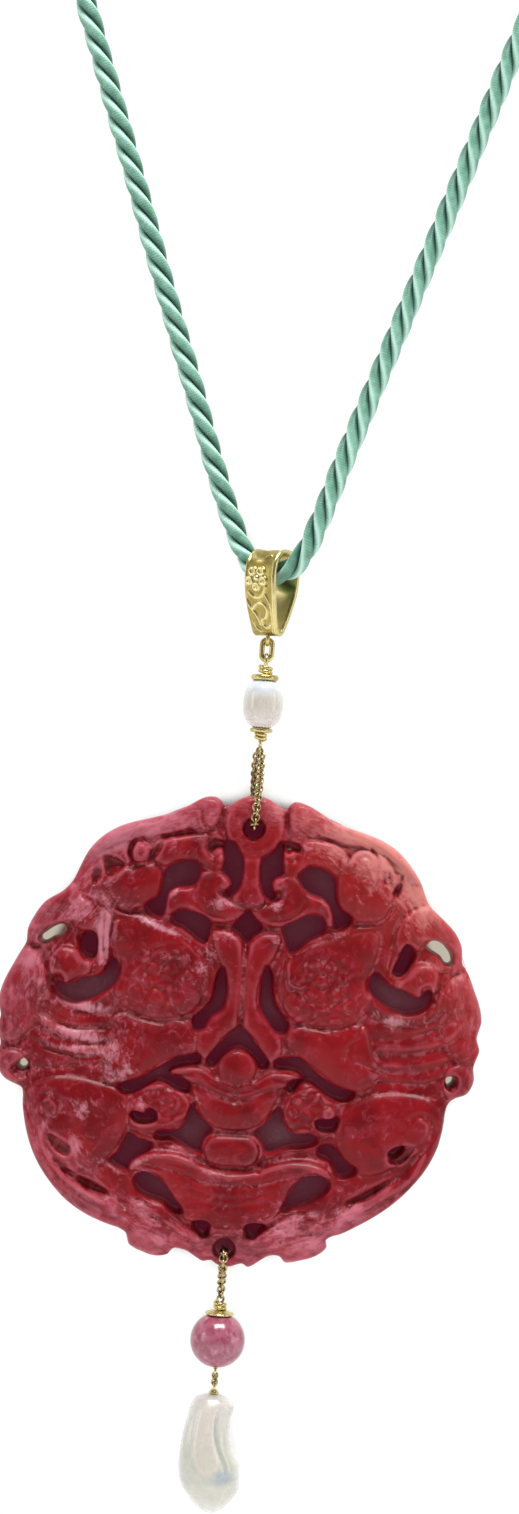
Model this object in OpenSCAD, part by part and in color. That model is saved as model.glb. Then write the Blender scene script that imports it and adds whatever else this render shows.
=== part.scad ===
// Carved red jade pendant on a twisted cord, hung from a gold bail, with a pearl above the stone
// and a pink bead and a long baroque pearl below it. Millimetres, +Z up, front towards -Y.
// The origin is under the clasp at the nape, where a neck or a peg carries the loop.

/* [Cord] */
// Diameter of the three-strand cord
cord_d = 3.2; // [2.6:0.1:3.3]
// Distance from the nape down to the chain that carries the stone
nape_drop = 235; // [225:5:245]
// Length of the plain barrel clasp at the nape
clasp_l = 16; // [14:1:17]
// Diameter of the barrel clasp
clasp_d = 4.6; // [4:0.2:6]

/* [Bail] */
// Width of the bail's strip
bail_w = 5.8; // [5:0.1:6]
// Thickness of the bail's strip
bail_t = 0.7; // [0.6:0.05:0.8]
// Angle by which the bail is turned from the front
bail_turn = 35; // [30:1:40]
// Wire diameter of the bail's eye, of the link and of the pins
wire_d = 0.6; // [0.5:0.02:0.62]

/* [Beads and pearls] */
// Width of the upper pearl
pearl_w = 5.9; // [5.5:0.1:6.1]
// Height of the upper pearl
pearl_h = 7.4; // [7:0.1:7.5]
// Diameter of the pink stone bead
bead_d = 8; // [7.5:0.1:8.2]
// Drill hole through the pearl and the bead
drill_d = 0.9; // [0.8:0.05:1.2]
// Length of the baroque pearl
baroque_l = 17.2; // [15:0.2:18]

/* [Chain] */
// Outer diameter of the fine chain, link corner to link corner
chain_d = 1.3; // [1.1:0.05:1.35]

/* [Stone] */
// Greatest width of the carved stone
stone_w = 70; // [66:1:72]
// Thickness of the stone's ground, behind its relief
stone_t = 4.5; // [4:0.1:4.6]
// Height of the relief above the ground
relief_h = 1.1; // [0.6:0.1:1.2]
// Diameter of the two drilled holes that the chains go through
hole_d = 2.7; // [2.6:0.05:2.9]

/* [Hidden] */
$fn = 48;
seat = 0.1;                       // gap between pieces that rest on each other
chart_w = 70;                     // stone width that the chart below was drawn for
stone_k = stone_w / chart_w;
stone_back = 2.6;                 // y of the stone's flat back
ground_y = stone_back - stone_t;  // y of the ground between the raised motifs
relief_y = ground_y - relief_h;   // y of the raised motifs
knob_y = -stone_back;             // y of the flat land that the chain lies over

// Heights above the chain's seat in the top hole
loop_top_z = nape_drop + clasp_d / 2;
bail_top_z = 40.1;
bail_crown_r = 3.3;
bail_tip_r = 0.9;
bail_tip_z = 28.4;
eye_wire_z = 26.3;                // centre of the eye's wire at its lowest point
eye_r = 0.8;
link_wire_d = 0.7;
link_end_r = 0.75;                // radius of the oval link's two round ends
link_straight = 1.5;
link_low_z = eye_wire_z - link_straight - link_end_r;
pin_loop_r = 0.95;
pin_top_z = link_low_z + link_wire_d / 2 + wire_d / 2 + seat;
pearl_z = 17.7;
hole_z = chain_d / 2 + seat + 0.05 - hole_d / 2;
low_hole_z = -61.7 * stone_k;
low_seat_z = low_hole_z - hole_d / 2 + chain_d / 2 + seat + 0.05;
bead_z = low_hole_z - 13.4;
baroque_top_z = bead_z - 7.9;

// Route of the cord from the clasp, down the left, through the bail and up the right: x, y, z above the
// chain's seat in the top hole
CORD_ROUTE = [
    [-8.15, 0, 237.3], [-11, 0, 237.2], [-16, 0, 236.1], [-26, 0, 231.6], [-35.5, 0, 224.5],
    [-43.5, 0, 214], [-48.8, 0, 202], [-51, 0, 188.5], [-50, 0, 174], [-46.5, 0, 158.5], [-41.4, 0, 142],
    [-35.8, 0, 125.5], [-29.9, 0, 109], [-24, 0.2, 92.5], [-18.2, 0.8, 76], [-12.9, 1.9, 61.5],
    [-9, 3, 50.5], [-6.3, 3.5, 43.8], [-4.5, 3, 39.95], [-2.6, 1.8, 37.45], [0, 0, 36.55],
    [2.6, -1.8, 37.45], [4.5, -3, 39.95], [6.2, -3.5, 44.4], [8.8, -3, 52.5], [12.3, -1.9, 63],
    [17.2, -0.8, 77.5], [22.7, -0.2, 94], [28.3, 0, 111], [34, 0, 128], [39.8, 0, 145], [45.2, 0, 161],
    [48.9, 0, 175.5], [50, 0, 189.5], [47.8, 0, 203], [42.8, 0, 214.5], [35, 0, 224.5], [26, 0, 231.6],
    [16, 0, 236.1], [11, 0, 237.2], [8.15, 0, 237.3]
];

// Route of the upper chain, down in front of the knob, through the top hole and up behind: y, z
UPPER_CHAIN_ROUTE = [
    [-0.8, 10.7], [-1.1, 9.2], [-2.2, 7], [-3.3, 5], [-3.5, 2.8], [-3.45, 0.8], [-3.2, 0.2], [-2.6, -0.05],
    [-1.2, -0.05], [1.2, -0.05], [2.6, -0.05], [3.2, 0.2], [3.45, 0.8], [3.5, 2.8], [3.3, 5], [2.2, 7],
    [1.1, 9.2], [0.8, 10.7]
];

// Route of the lower chain from the bead's pin, up the front, through the low hole and down behind:
// y, z above the seat in the low hole
LOWER_CHAIN_ROUTE = [
    [0, -6.9], [0, -5.8], [-0.5, -4.7], [-1.8, -3.4], [-2.75, -2.1], [-2.75, -0.8], [-2.5, -0.2],
    [-1.9, 0.05], [-1, 0.05], [1.2, 0.05], [2.6, 0.05], [3.2, -0.2], [3.45, -0.8], [3.4, -2.1], [2.6, -3.3]
];

// Sections of the baroque pearl from its tip down: depth below the tip as a share of its length,
// half width, half depth, shift to the right
BAROQUE_SECTIONS = [
    [0, 1.1, 0.9, 0], [0.03, 2.3, 1.8, -0.2], [0.08, 3.15, 2.4, 0], [0.19, 3.3, 2.8, -0.4],
    [0.31, 3.5, 3, -0.65], [0.44, 3.95, 3.3, -0.5], [0.58, 4.6, 3.7, 0.1], [0.7, 4.65, 3.8, 0.2],
    [0.8, 4.15, 3.5, 0.4], [0.89, 3.1, 2.8, 0.55], [0.96, 1.8, 1.6, 0.6], [1, 0.5, 0.4, 0.7]
];

// Outline of the stone, clockwise from the knob round the top hole: x, z above the seat, for chart_w
OUTLINE = [
    [0, 4.2], [1.5, 4], [2.8, 3.4], [3.8, 2.7], [4.4, 2.5], [4.9, 3.1], [5.6, 3.7], [6.9, 3.6], [9, 2.7],
    [11.5, 1.3], [14.5, 0.3], [18, -0.7], [20.8, -2.1], [23, -4.2], [24.8, -6.8], [26.2, -9.8], [28.2, -11.6],
    [30.2, -13.5], [31.3, -15.6], [31.6, -18], [32.3, -19], [33.6, -21.8], [34.5, -24], [34.9, -26.2],
    [34.35, -28.6], [34.85, -30.2], [34.2, -32.9], [34.4, -34.6], [33.4, -36.8], [31.9, -37.4], [30.9, -38.4],
    [30.5, -41], [29.9, -44.5], [28.6, -47.6], [26.6, -50.5], [23.8, -53.5], [20.3, -56.1], [16.5, -58.3],
    [14.6, -59.3], [14.8, -60.2], [13.6, -61.5], [11, -62.5], [8.8, -62.9], [8.1, -62.1], [7, -62],
    [5, -63.2], [3.5, -64], [2.8, -63.6], [1.2, -64.1], [-1, -63.9], [-1.8, -63.4], [-2.9, -63.6],
    [-5, -62.5], [-7.4, -62], [-8.1, -62.9], [-9.4, -63.3], [-12, -62.8], [-13.9, -61.8], [-14.4, -60.2],
    [-16.5, -59.4], [-20, -58.2], [-23.5, -56.1], [-26.2, -53.4], [-28.6, -49.8], [-30, -46],
    [-30.7, -42.3], [-31, -40.3], [-31.9, -39.9], [-33.6, -39.1], [-34.6, -37.6], [-34.9, -35.6],
    [-34.5, -34.2], [-35.1, -31.8], [-34.7, -30], [-35.2, -28], [-34.9, -26], [-33.7, -23], [-32.5, -20.6],
    [-31.8, -19.2], [-31.7, -17.3], [-30.9, -15.3], [-29.3, -13], [-27.2, -11.6], [-25.7, -9.9],
    [-24.8, -7.8], [-23.6, -5.2], [-21.8, -3.1], [-19.4, -1.5], [-16, -0.3], [-12.5, 0.8], [-9.5, 2.3],
    [-7.2, 3.6], [-5.8, 3.65], [-4.9, 3.1], [-4.2, 2.4], [-3.4, 2.9], [-2.2, 3.7], [-1.1, 4.1]
];

// Openwork cut through the stone, each with its name and its outline: x, z above the seat, for chart_w
PIERCINGS = [
    ["beside the stem, left", [[-3.8, -2.6], [-2.8, -2.8], [-2, -3.9], [-1.4, -5.2], [-1.3, -7.2], [-1.6, -9],
        [-2.3, -10.1], [-3.2, -10.6], [-3.3, -9.8], [-2.7, -9], [-3, -8.1], [-3.9, -7.2], [-3.8, -5.2]]],
    ["beside the stem, right", [[4.1, -2.3], [3.4, -3.4], [2.3, -4.4], [1.6, -5.2], [1.5, -7], [1.8, -8.8],
        [2.3, -10.2], [3.2, -10.7], [3.5, -9.7], [3, -8.5], [3.4, -7.6], [4.4, -7], [4.3, -4.6]]],
    ["crescent behind the scroll, left", [[-8, -6], [-10, -6.1], [-12.1, -7.3], [-12.6, -9.2], [-13, -11.2],
        [-14.9, -12.8], [-14, -13.9], [-12.7, -14.2], [-12.1, -12.4], [-11.9, -10.6], [-10.6, -9.6],
        [-8.3, -9.2], [-7.4, -7.2]]],
    ["crescent behind the scroll, right", [[8.4, -5.6], [10.2, -5.7], [12.1, -7.1], [12.4, -9.2], [13, -11.2],
        [14.9, -12.5], [14, -13.8], [12.9, -14.4], [12.5, -12.8], [11.9, -11], [10.8, -9.9], [8.7, -9.2],
        [7.1, -7.2]]],
    ["under the scroll, left", [[-10.9, -13.8], [-9.6, -13.1], [-8, -13.3], [-5.5, -14.4], [-5.5, -15.8],
        [-6.1, -17.4], [-7.2, -16.9], [-9.3, -15.3], [-10.8, -14.7]]],
    ["under the scroll, right", [[5.3, -14.6], [7.1, -13.6], [8.6, -12.7], [10.2, -12.6], [11.2, -13.5],
        [10.7, -15], [9, -16.1], [7.6, -17.5], [6.6, -18.1], [5.9, -16.6]]],
    ["diamond between the scrolls", [[-2, -15], [-1, -13.6], [0, -12.6], [1.1, -13.6], [2.1, -14.9],
        [1, -15.8], [0, -16.9], [-0.8, -16]]],
    ["slit beside the stems, left", [[-3.1, -21], [-2.6, -23], [-2.6, -25.8], [-3.1, -27.3], [-4.6, -28.4],
        [-5.3, -30], [-6.3, -30.4], [-6.6, -28.6], [-5.3, -27.2], [-4.3, -26], [-3.9, -23.6]]],
    ["slit beside the stems, right", [[3.3, -20.3], [4.1, -22.6], [4.6, -25.6], [5.8, -27.3], [6.8, -28.5],
        [6.5, -29.7], [5.4, -29.9], [4.2, -28.6], [3.1, -26.9], [2.8, -24.2], [2.9, -21.8]]],
    ["arch over the ball", [[0, -29.6], [1.1, -30.2], [2.2, -31.7], [3.5, -33], [4.4, -34.4], [3.5, -34.9],
        [2.9, -34.1], [1.5, -32.8], [0, -32.3], [-1.5, -32.9], [-2.8, -34.3], [-3.5, -35.1], [-4.3, -34.6],
        [-3.7, -33.3], [-2.3, -31.8], [-1.1, -30.3]]],
    ["crescent under the wing curl, left", [[-19.2, -20.7], [-18.3, -21.9], [-18.3, -23.5], [-19.6, -25.3],
        [-21.7, -26.6], [-24, -27.4], [-26, -26.9], [-27.3, -25.4], [-26.6, -24.9], [-25, -25], [-23.6, -24],
        [-21.2, -23.6], [-20.1, -22.8]]],
    ["crescent under the wing curl, right", [[19.2, -20.3], [20, -20.9], [21, -21.9], [23.6, -22.6],
        [25, -23.5], [26, -23.2], [27, -22.3], [27.4, -23.5], [26, -25.1], [23.4, -25.6], [21.2, -24.9],
        [19.3, -23.7], [18.4, -21.8]]],
    ["inside the wing curl, left", [[-23.4, -17.4], [-22, -17.6], [-21.7, -19.2], [-22, -20.6], [-23, -20.4],
        [-23.6, -19]]],
    ["inside the wing curl, right", [[23.4, -15.8], [24.4, -16.9], [24, -18], [23.4, -19.5], [22.6, -20.2],
        [21.9, -19.9], [22.3, -18.6], [22.8, -17]]],
    ["over the shoulder, left", [[-29.8, -18.5], [-29, -17.6], [-27.8, -16.7], [-26.7, -16.4], [-26.4, -17],
        [-26.9, -17.7], [-28, -18.2], [-29.3, -18.9]]],
    ["over the shoulder, right", [[26.4, -15.8], [27, -15], [28.1, -15.1], [29.1, -15.9], [29.9, -17.2],
        [29.9, -18], [29.2, -18], [28.4, -17.1], [27.4, -16.5]]],
    ["ear dot, left", [[-31.7, -37.2], [-31, -36.2], [-30.5, -36.9], [-31, -37.6]]],
    ["ear dot, right", [[30.5, -34.8], [31.4, -34.6], [31.4, -35.1], [30.7, -35.8]]],
    ["beside the bowl rim, left", [[-16.8, -39.1], [-14.6, -38.2], [-12.5, -37.1], [-10.6, -35.8],
        [-8.7, -34.6], [-7, -34.1], [-5.6, -34], [-5.6, -34.8], [-7.2, -35.2], [-9, -35.8], [-10, -36.6],
        [-9.4, -37.3], [-7.8, -37.5], [-6.8, -38.2], [-7, -39.1], [-8.2, -39], [-9.8, -38.3],
        [-11.3, -37.8], [-13.4, -39], [-15.2, -39.9], [-16.4, -39.8]]],
    ["beside the bowl rim, right", [[5.5, -34], [7, -33.6], [9, -33.4], [10.3, -34.5], [11.8, -35.7],
        [13.6, -36.8], [15.6, -37.5], [17.1, -37.8], [16.3, -38.7], [14.9, -38.8], [13.2, -38.1], [11.7, -37],
        [10.3, -36.4], [8.9, -36.9], [8.2, -38], [7.6, -37.6], [8, -36.7], [9.8, -36.1], [9.1, -35.3],
        [7.4, -34.9], [5.6, -34.7]]],
    ["leaf of the flower, left", [[-14.8, -43], [-14, -42.7], [-13, -42.9], [-12.2, -42.2], [-11.3, -42.8],
        [-11.4, -43.6], [-12.6, -43.9], [-14.1, -43.8]]],
    ["leaf of the flower, right", [[12.1, -42.2], [13.2, -42], [14.2, -41.9], [14.9, -41.5], [14.8, -43],
        [13.6, -43.4], [12.3, -43.1]]],
    ["beside the bowl, left", [[-6.1, -41.3], [-5.4, -42.7], [-4.1, -43.7], [-3.1, -44.5], [-3.9, -45.4],
        [-4.4, -46.7], [-4.6, -47.9], [-5.8, -47.7], [-7.3, -46.9], [-9, -46.1], [-11.1, -46], [-11, -45.5],
        [-9.3, -45.3], [-7.7, -45], [-6.9, -44.1], [-6.5, -42.7]]],
    ["beside the bowl, right", [[6.5, -40.8], [7.1, -42.6], [8, -44.1], [9.4, -44.5], [12, -44.5],
        [12.3, -45], [11, -45.8], [8.2, -46.3], [6.7, -46.9], [5.1, -47.3], [4.6, -46.4], [4, -45.3],
        [3.4, -44.4], [4.5, -43.5], [5.6, -42.1]]],
    ["between lotus and haunch, left", [[-15, -46], [-13.6, -46.8], [-11.6, -47.3], [-12.2, -48.2],
        [-13.6, -49.1], [-14.6, -50.2], [-15.1, -51.2], [-16.2, -50.9], [-17.4, -50], [-16.2, -48.7],
        [-15.7, -47.3]]],
    ["between lotus and haunch, right", [[14.5, -45.7], [15.9, -47.2], [17, -48.1], [18.2, -48.9],
        [17, -49.8], [15.8, -49.9], [15.2, -48.9], [14.2, -47.7], [12.7, -47], [12.6, -46.3]]],
    ["under the lotus arm, left", [[-13.4, -52], [-12.6, -51.5], [-11.2, -51.8], [-9.8, -52.7], [-8.7, -53.8],
        [-7.6, -55.2], [-6.6, -56.6], [-7.8, -56.4], [-9.2, -55.4], [-11, -54.9], [-12.7, -54.2],
        [-13.5, -53.2]]],
    ["under the lotus arm, right", [[13.9, -50.7], [12.4, -50.4], [11, -50.7], [9.9, -51.7], [9, -53.1],
        [8.3, -54.5], [8.1, -55.4], [9.6, -55], [11.2, -54.5], [12.6, -53.7], [13.9, -52.5], [14.5, -51.4]]],
    ["beside the low hole, left", [[-4.7, -58.2], [-2.5, -58.2], [-2.7, -59.4], [-3.1, -59.8], [-4, -59.2]]],
    ["beside the low hole, right", [[3, -58.2], [5.6, -58], [4.9, -58.7], [4.1, -59.7], [3.4, -59.2]]],
    ["under the haunch, right", [[24.8, -45.1], [24.3, -45.9], [23.5, -46.4], [22.9, -46.2], [23.6, -45.4]]]
];

// Raised motifs of the right half, mirrored for the left: name and outline, x, z above the seat
RAISED = [
    ["crest", [[6, 2.8], [9, 1.8], [14, -0.6], [18.5, -1.8], [14, -3.6], [9, -4.4], [6, -1.2]]],
    ["bird chest", [[12.9, -6.5], [15, -3.8], [19.5, -3], [22.8, -5.5], [22, -10], [19, -12.8], [15.6, -12.1],
        [13.2, -9.5]]],
    ["scroll", [[2.4, -12.6], [5, -13.6], [8, -11.5], [10.5, -11.2], [11.8, -13.6], [11.6, -11.8], [9, -10.2],
        [7, -7.8], [5, -7.6], [6, -9.6], [5, -11.4]]],
    ["shoulder feathers", [[7.2, -19.5], [12, -16.2], [17.5, -15.8], [18, -20], [17.6, -26], [19.8, -31],
        [18.5, -36], [14, -35.5], [9, -31.5], [8, -28.6], [6.2, -25]]],
    ["wing", [[20, -15], [24.5, -12.6], [28.5, -13.2], [31, -17.5], [33.2, -23], [33.9, -28.5], [33, -32],
        [28, -34], [22, -34.3], [19.2, -30], [22, -27.2], [27.8, -25], [28, -20.5], [25, -19], [21, -20]]],
    ["stem", [[0.4, -16.8], [2.3, -15.6], [4.8, -15.6], [5, -19], [2.6, -21], [2.3, -26.5], [4, -29.5],
        [4.4, -33], [1.6, -29.9], [0.5, -27.5]]],
    ["haunch", [[15.6, -41], [18.5, -38.3], [24, -37.8], [29, -40], [29.4, -44], [27.2, -48.6], [23, -50],
        [18.6, -48.6], [16, -45]]],
    ["flower", [[8, -39], [9.8, -37.6], [12, -38.6], [13.9, -40], [12.6, -41.6], [11.4, -43.6], [8.6, -43],
        [7.6, -41]]],
    ["half bowl", [[0, -37.6], [5.6, -37.6], [5.2, -41], [3, -43.6], [0, -44]]],
    ["half foot", [[0, -45.6], [3, -45.5], [3.7, -47], [3, -48.6], [0, -48.9]]],
    ["half lotus", [[0, -50.6], [5, -50], [10, -48.8], [14, -49.6], [9.5, -51], [7.6, -55], [5.4, -57.4],
        [0, -57.7]]],
    ["tail", [[14, -54.6], [22.5, -51.6], [26.2, -49.4], [23, -53], [17.5, -56.8], [12, -60.6], [8, -60.4],
        [10, -56.4]]]
];

// Direction of a curve at each of its points, from the two stretches beside the point
function bend(before, after) =
    (before / norm(before) * norm(after) + after / norm(after) * norm(before)) / (norm(before) + norm(after));
function heading(p, i) =
    i == 0 ? (p[1] - p[0]) / norm(p[1] - p[0])
    : i == len(p) - 1 ? (p[i] - p[i - 1]) / norm(p[i] - p[i - 1])
    : bend(p[i] - p[i - 1], p[i + 1] - p[i]);
function heading_round(p, i) =
    let (n = len(p))
    bend(p[i] - p[(i + n - 1) % n], p[(i + 1) % n] - p[i]);

// Cubic between points a and b that leaves along ta and arrives along tb
function cubic(a, b, ta, tb, t) =
    let (d = norm(b - a))
    (2 * t ^ 3 - 3 * t ^ 2 + 1) * a + (t ^ 3 - 2 * t ^ 2 + t) * d * ta
    + (3 * t ^ 2 - 2 * t ^ 3) * b + (t ^ 3 - t ^ 2) * d * tb;
function open_curve(p, parts) = concat(
    [for (i = [0 : len(p) - 2]) for (k = [0 : parts - 1])
        cubic(p[i], p[i + 1], heading(p, i), heading(p, i + 1), k / parts)],
    [p[len(p) - 1]]
);
function closed_curve(p, parts) =
    let (n = len(p))
    [for (i = [0 : n - 1]) for (k = [0 : parts - 1])
        cubic(p[i], p[(i + 1) % n], heading_round(p, i), heading_round(p, (i + 1) % n), k / parts)];

// Round tube along a route, with a ring of corners at each point, square to the route.
// across is a direction that the route never takes.
module tube(route, d, sides, across) {
    n = len(route);
    rings = [for (i = [0 : n - 1])
        let (
            t = heading(route, i) / norm(heading(route, i)),
            u = (across - (across * t) * t) / norm(across - (across * t) * t),
            v = cross(t, u)
        )
        for (k = [0 : sides - 1]) route[i] + d / 2 * (cos(360 * k / sides) * u + sin(360 * k / sides) * v)];
    walls = [for (i = [0 : n - 2]) for (k = [0 : sides - 1])
        [i * sides + k, (i + 1) * sides + k, (i + 1) * sides + (k + 1) % sides, i * sides + (k + 1) % sides]];
    polyhedron(rings, concat([[for (k = [0 : sides - 1]) k]], walls,
        [[for (k = [sides - 1 : -1 : 0]) (n - 1) * sides + k]]));
}

module hung() {
    translate([0, 0, -nape_drop]) children();
}

// Wire ring that faces along X, with its centre at height z
module side_ring(z, r, d) {
    translate([0, 0, z]) rotate([0, 90, 0]) rotate_extrude() translate([r, 0]) circle(d = d, $fn = 24);
}

// Round outline between a crown circle and a tip circle, joined by their tangents: depth, height
function teardrop(crown_r, crown_z, tip_r, tip_z) =
    let (lean = asin((crown_r - tip_r) / (crown_z - tip_z)))
    concat(
        [for (a = [-lean : (180 + 2 * lean) / 28 : 180 + lean + 0.01])
            [crown_r * cos(a), crown_z + crown_r * sin(a)]],
        [for (a = [180 + lean : (180 - 2 * lean) / 10 : 360 - lean + 0.01])
            [tip_r * cos(a), tip_z + tip_r * sin(a)]]
    );

module cord() {
    color("mediumaquamarine") hung()
        tube(open_curve(CORD_ROUTE, 2), cord_d, 8, [0, 1, 0]);
}

// Plain barrel in line with the cord, flat at its two ends
module clasp() {
    color("gold") hung() translate([0, 0, loop_top_z]) rotate([0, 90, 0])
        rotate_extrude()
            polygon([[0, -clasp_l / 2], [clasp_d / 2 - 0.5, -clasp_l / 2], [clasp_d / 2, -clasp_l / 2 + 0.6],
                [clasp_d / 2, clasp_l / 2 - 0.6], [clasp_d / 2 - 0.5, clasp_l / 2], [0, clasp_l / 2]]);
}

// Teardrop loop of strip with a wire eye soldered under its tip
module bail() {
    crown_z = bail_top_z - bail_crown_r;
    color("gold") hung() union() {
        rotate([0, 0, -bail_turn]) rotate([90, 0, 90]) translate([0, 0, -bail_w / 2])
            linear_extrude(bail_w) difference() {
                polygon(teardrop(bail_crown_r, crown_z, bail_tip_r, bail_tip_z));
                polygon(teardrop(bail_crown_r - bail_t, crown_z, bail_tip_r - bail_t + 0.1,
                    bail_tip_z + 0.4));
            }
        side_ring(eye_wire_z + eye_r, eye_r, wire_d);
    }
}

// Oval link between the bail's eye and the pearl's pin, face to the front
module oval_link() {
    color("gold") hung() translate([0, 0, eye_wire_z]) rotate([90, 0, 0]) union() {
        for (end = [0, 1])
            translate([0, -end * link_straight, 0]) rotate([0, 0, 180 * end])
                rotate_extrude(angle = 180) translate([link_end_r, 0]) circle(d = link_wire_d, $fn = 24);
        for (side = [-1, 1])
            translate([side * link_end_r, 0, 0]) rotate([90, 0, 0])
                cylinder(d = link_wire_d, h = link_straight, $fn = 24);
    }
}

// Wire wrapped round a pin under its loop: a few turns, solid to the core
module wraps(z_top, turns, width) {
    for (k = [0 : turns - 1])
        translate([0, 0, z_top - wire_d / 2 - k * wire_d * 0.85]) rotate_extrude() union() {
            translate([width / 2 - wire_d / 2, 0]) circle(d = wire_d, $fn = 24);
            translate([0, -wire_d * 0.45]) square([width / 2 - wire_d / 2, wire_d * 0.9]);
        }
}

// Wire pin with a wrapped loop at each end, through the caps and the pearl
module pearl_pin() {
    loop_z = pin_top_z - pin_loop_r;
    low_loop_z = 11.9;
    color("gold") hung() union() {
        side_ring(loop_z, pin_loop_r, wire_d);
        wraps(loop_z - pin_loop_r + wire_d / 2, 2, 2.2);
        translate([0, 0, 12.6]) cylinder(d = wire_d, h = loop_z - pin_loop_r - 12.6);
        wraps(13.4, 2, 1.9);
        side_ring(low_loop_z, 0.65, 0.5);
    }
}

// Height of a bead's surface over its middle, at radius r
function pearl_top(r) = pearl_h / 2 * (1 - (2 * r / pearl_w) ^ 2.5) ^ 0.4;
function bead_top(r) = sqrt(bead_d ^ 2 / 4 - r ^ 2);

// Dished cap with a rolled rim that follows the bead under it. over is the bead's height at a radius.
module dished_cap(over, rim_d) {
    steps = 8;
    hole_r = drill_d / 2;
    radii = [for (k = [0 : steps]) hole_r + k / steps * (rim_d / 2 - hole_r)];
    rim_swell = function(r) 0.32 + 0.14 * (2 * r / rim_d) ^ 6;
    rotate_extrude() polygon(concat(
        [for (r = radii) [r, over(r) + seat]],
        [[rim_d / 2 + 0.12, over(rim_d / 2) + seat + 0.2]],
        [for (k = [steps : -1 : 0]) [radii[k], over(radii[k]) + seat + rim_swell(radii[k])]]
    ));
}

module pearl_cap_upper() {
    color("gold") hung() translate([0, 0, pearl_z]) dished_cap(function(r) pearl_top(r), 3.8);
}

module pearl() {
    side = [for (a = [-90 : 7.5 : 90.01])
        let (r = pearl_w / 2 * max(cos(a), 0) ^ 0.8) [r, sign(a) * pearl_top(r)]];
    color("whitesmoke") hung() translate([0, 0, pearl_z]) difference() {
        rotate_extrude() polygon(side);
        translate([0, 0, -pearl_h]) cylinder(d = drill_d, h = 2 * pearl_h);
    }
}

module pearl_cap_lower() {
    color("gold") hung() translate([0, 0, pearl_z]) mirror([0, 0, 1])
        dished_cap(function(r) pearl_top(r), 3.1);
}

module upper_chain() {
    color("gold") hung()
        tube([for (p = open_curve(UPPER_CHAIN_ROUTE, 2)) [0, p[0], p[1]]], chain_d, 8, [1, 0, 0]);
}

module lower_chain() {
    color("gold") hung() translate([0, 0, low_seat_z])
        tube([for (p = open_curve(LOWER_CHAIN_ROUTE, 2)) [0, p[0], p[1]]], chain_d, 8, [1, 0, 0]);
}

module openwork() {
    for (cut = PIERCINGS)
        polygon(closed_curve(cut[1], 2));
}

// Flat shape of the stone, x and z laid out as x and y
module stone_plan() {
    scale(stone_k) difference() {
        polygon(closed_curve(OUTLINE, 2));
        openwork();
    }
}

module raised_plan() {
    scale(stone_k) difference() {
        for (side = [0, 1]) mirror([side, 0])
            for (motif = RAISED)
                polygon(closed_curve(motif[1], 2));
        openwork();
    }
}

// A drawn shape stood up as a slab from y_back forward to y_front
module upright(y_back, y_front) {
    translate([0, y_back, 0]) rotate([90, 0, 0]) linear_extrude(y_back - y_front) children();
}

module jade_carving() {
    color("firebrick") hung() difference() {
        union() {
            upright(stone_back, ground_y) stone_plan();
            upright(ground_y, relief_y) raised_plan();
            translate([0, 0, hole_z]) rotate([90, 0, 0]) translate([0, 0, -0.5])
                cylinder(r = 3.7 * stone_k, h = 0.5 - knob_y);
        }
        for (z = [hole_z, low_hole_z])
            translate([0, 5, z]) rotate([90, 0, 0]) cylinder(d = hole_d, h = 10);
    }
}

// Wire pin through the pink bead, wrapped above its cap and looped below the bead
module bead_pin() {
    top_z = bead_z + bead_d / 2 + 1.75;
    low_z = bead_z - bead_d / 2 - 0.5;
    color("gold") hung() union() {
        wraps(top_z, 2, 2);
        translate([0, 0, low_z + 0.3]) cylinder(d = wire_d, h = top_z - low_z - 0.6);
        side_ring(low_z, 0.35, 0.35);
    }
}

module bead_cap() {
    color("gold") hung() translate([0, 0, bead_z]) dished_cap(function(r) bead_top(r), 4.2);
}

module pink_bead() {
    color("palevioletred") hung() translate([0, 0, bead_z]) difference() {
        sphere(d = bead_d, $fn = 64);
        translate([0, 0, -bead_d]) cylinder(d = drill_d, h = 2 * bead_d);
    }
}

// Two fine links between the bead's lower loop and the baroque pearl's pin
module drop_chain() {
    high = bead_z - bead_d / 2 - 1.1;
    low = baroque_top_z + 1.7;
    color("gold") hung() translate([0, 0, low]) cylinder(d = 0.9, h = high - low);
}

// Loop and small cup that carry the baroque pearl
module baroque_pin() {
    color("gold") hung() union() {
        side_ring(baroque_top_z + 1, 0.42, 0.35);
        translate([0, 0, baroque_top_z + seat]) cylinder(d1 = 1.9, d2 = 1, h = 0.6);
    }
}

// Pear-shaped freshwater pearl, each section a rounded oval with a furrow down its left front
module baroque_pearl() {
    sides = 24;
    n = len(BAROQUE_SECTIONS);
    rings = [for (s = BAROQUE_SECTIONS) for (k = [0 : sides - 1])
        let (a = 360 * k / sides, furrow = 1 - 0.07 * exp(-((a - 245) / 18) ^ 2) * (1 - s[0]))
        [s[3] + s[1] * furrow * cos(a), s[2] * furrow * sin(a), baroque_top_z - s[0] * baroque_l]];
    walls = [for (i = [0 : n - 2]) for (k = [0 : sides - 1]) for (half = [0, 1])
        half == 0 ? [i * sides + k, (i + 1) * sides + k, (i + 1) * sides + (k + 1) % sides]
        : [i * sides + k, (i + 1) * sides + (k + 1) % sides, i * sides + (k + 1) % sides]];
    color("snow") hung() polyhedron(rings, concat([[for (k = [0 : sides - 1]) k]], walls,
        [[for (k = [sides - 1 : -1 : 0]) (n - 1) * sides + k]]));
}

cord();
clasp();
bail();
oval_link();
pearl_pin();
pearl_cap_upper();
pearl();
pearl_cap_lower();
upper_chain();
jade_carving();
lower_chain();
bead_pin();
bead_cap();
pink_bead();
drop_chain();
baroque_pin();
baroque_pearl();
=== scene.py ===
# %% [markdown]
# # A carved red stone pendant on a twisted cord
# The pendant is built in the order in which it hangs: the cord, the gold bail, a pearl, the carved
# stone, a pink bead and a long pearl. Every shape is a surface worked out on a grid of two numbers,
# because jewellery is made of turned, drawn and carved forms that follow short rules.

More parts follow.
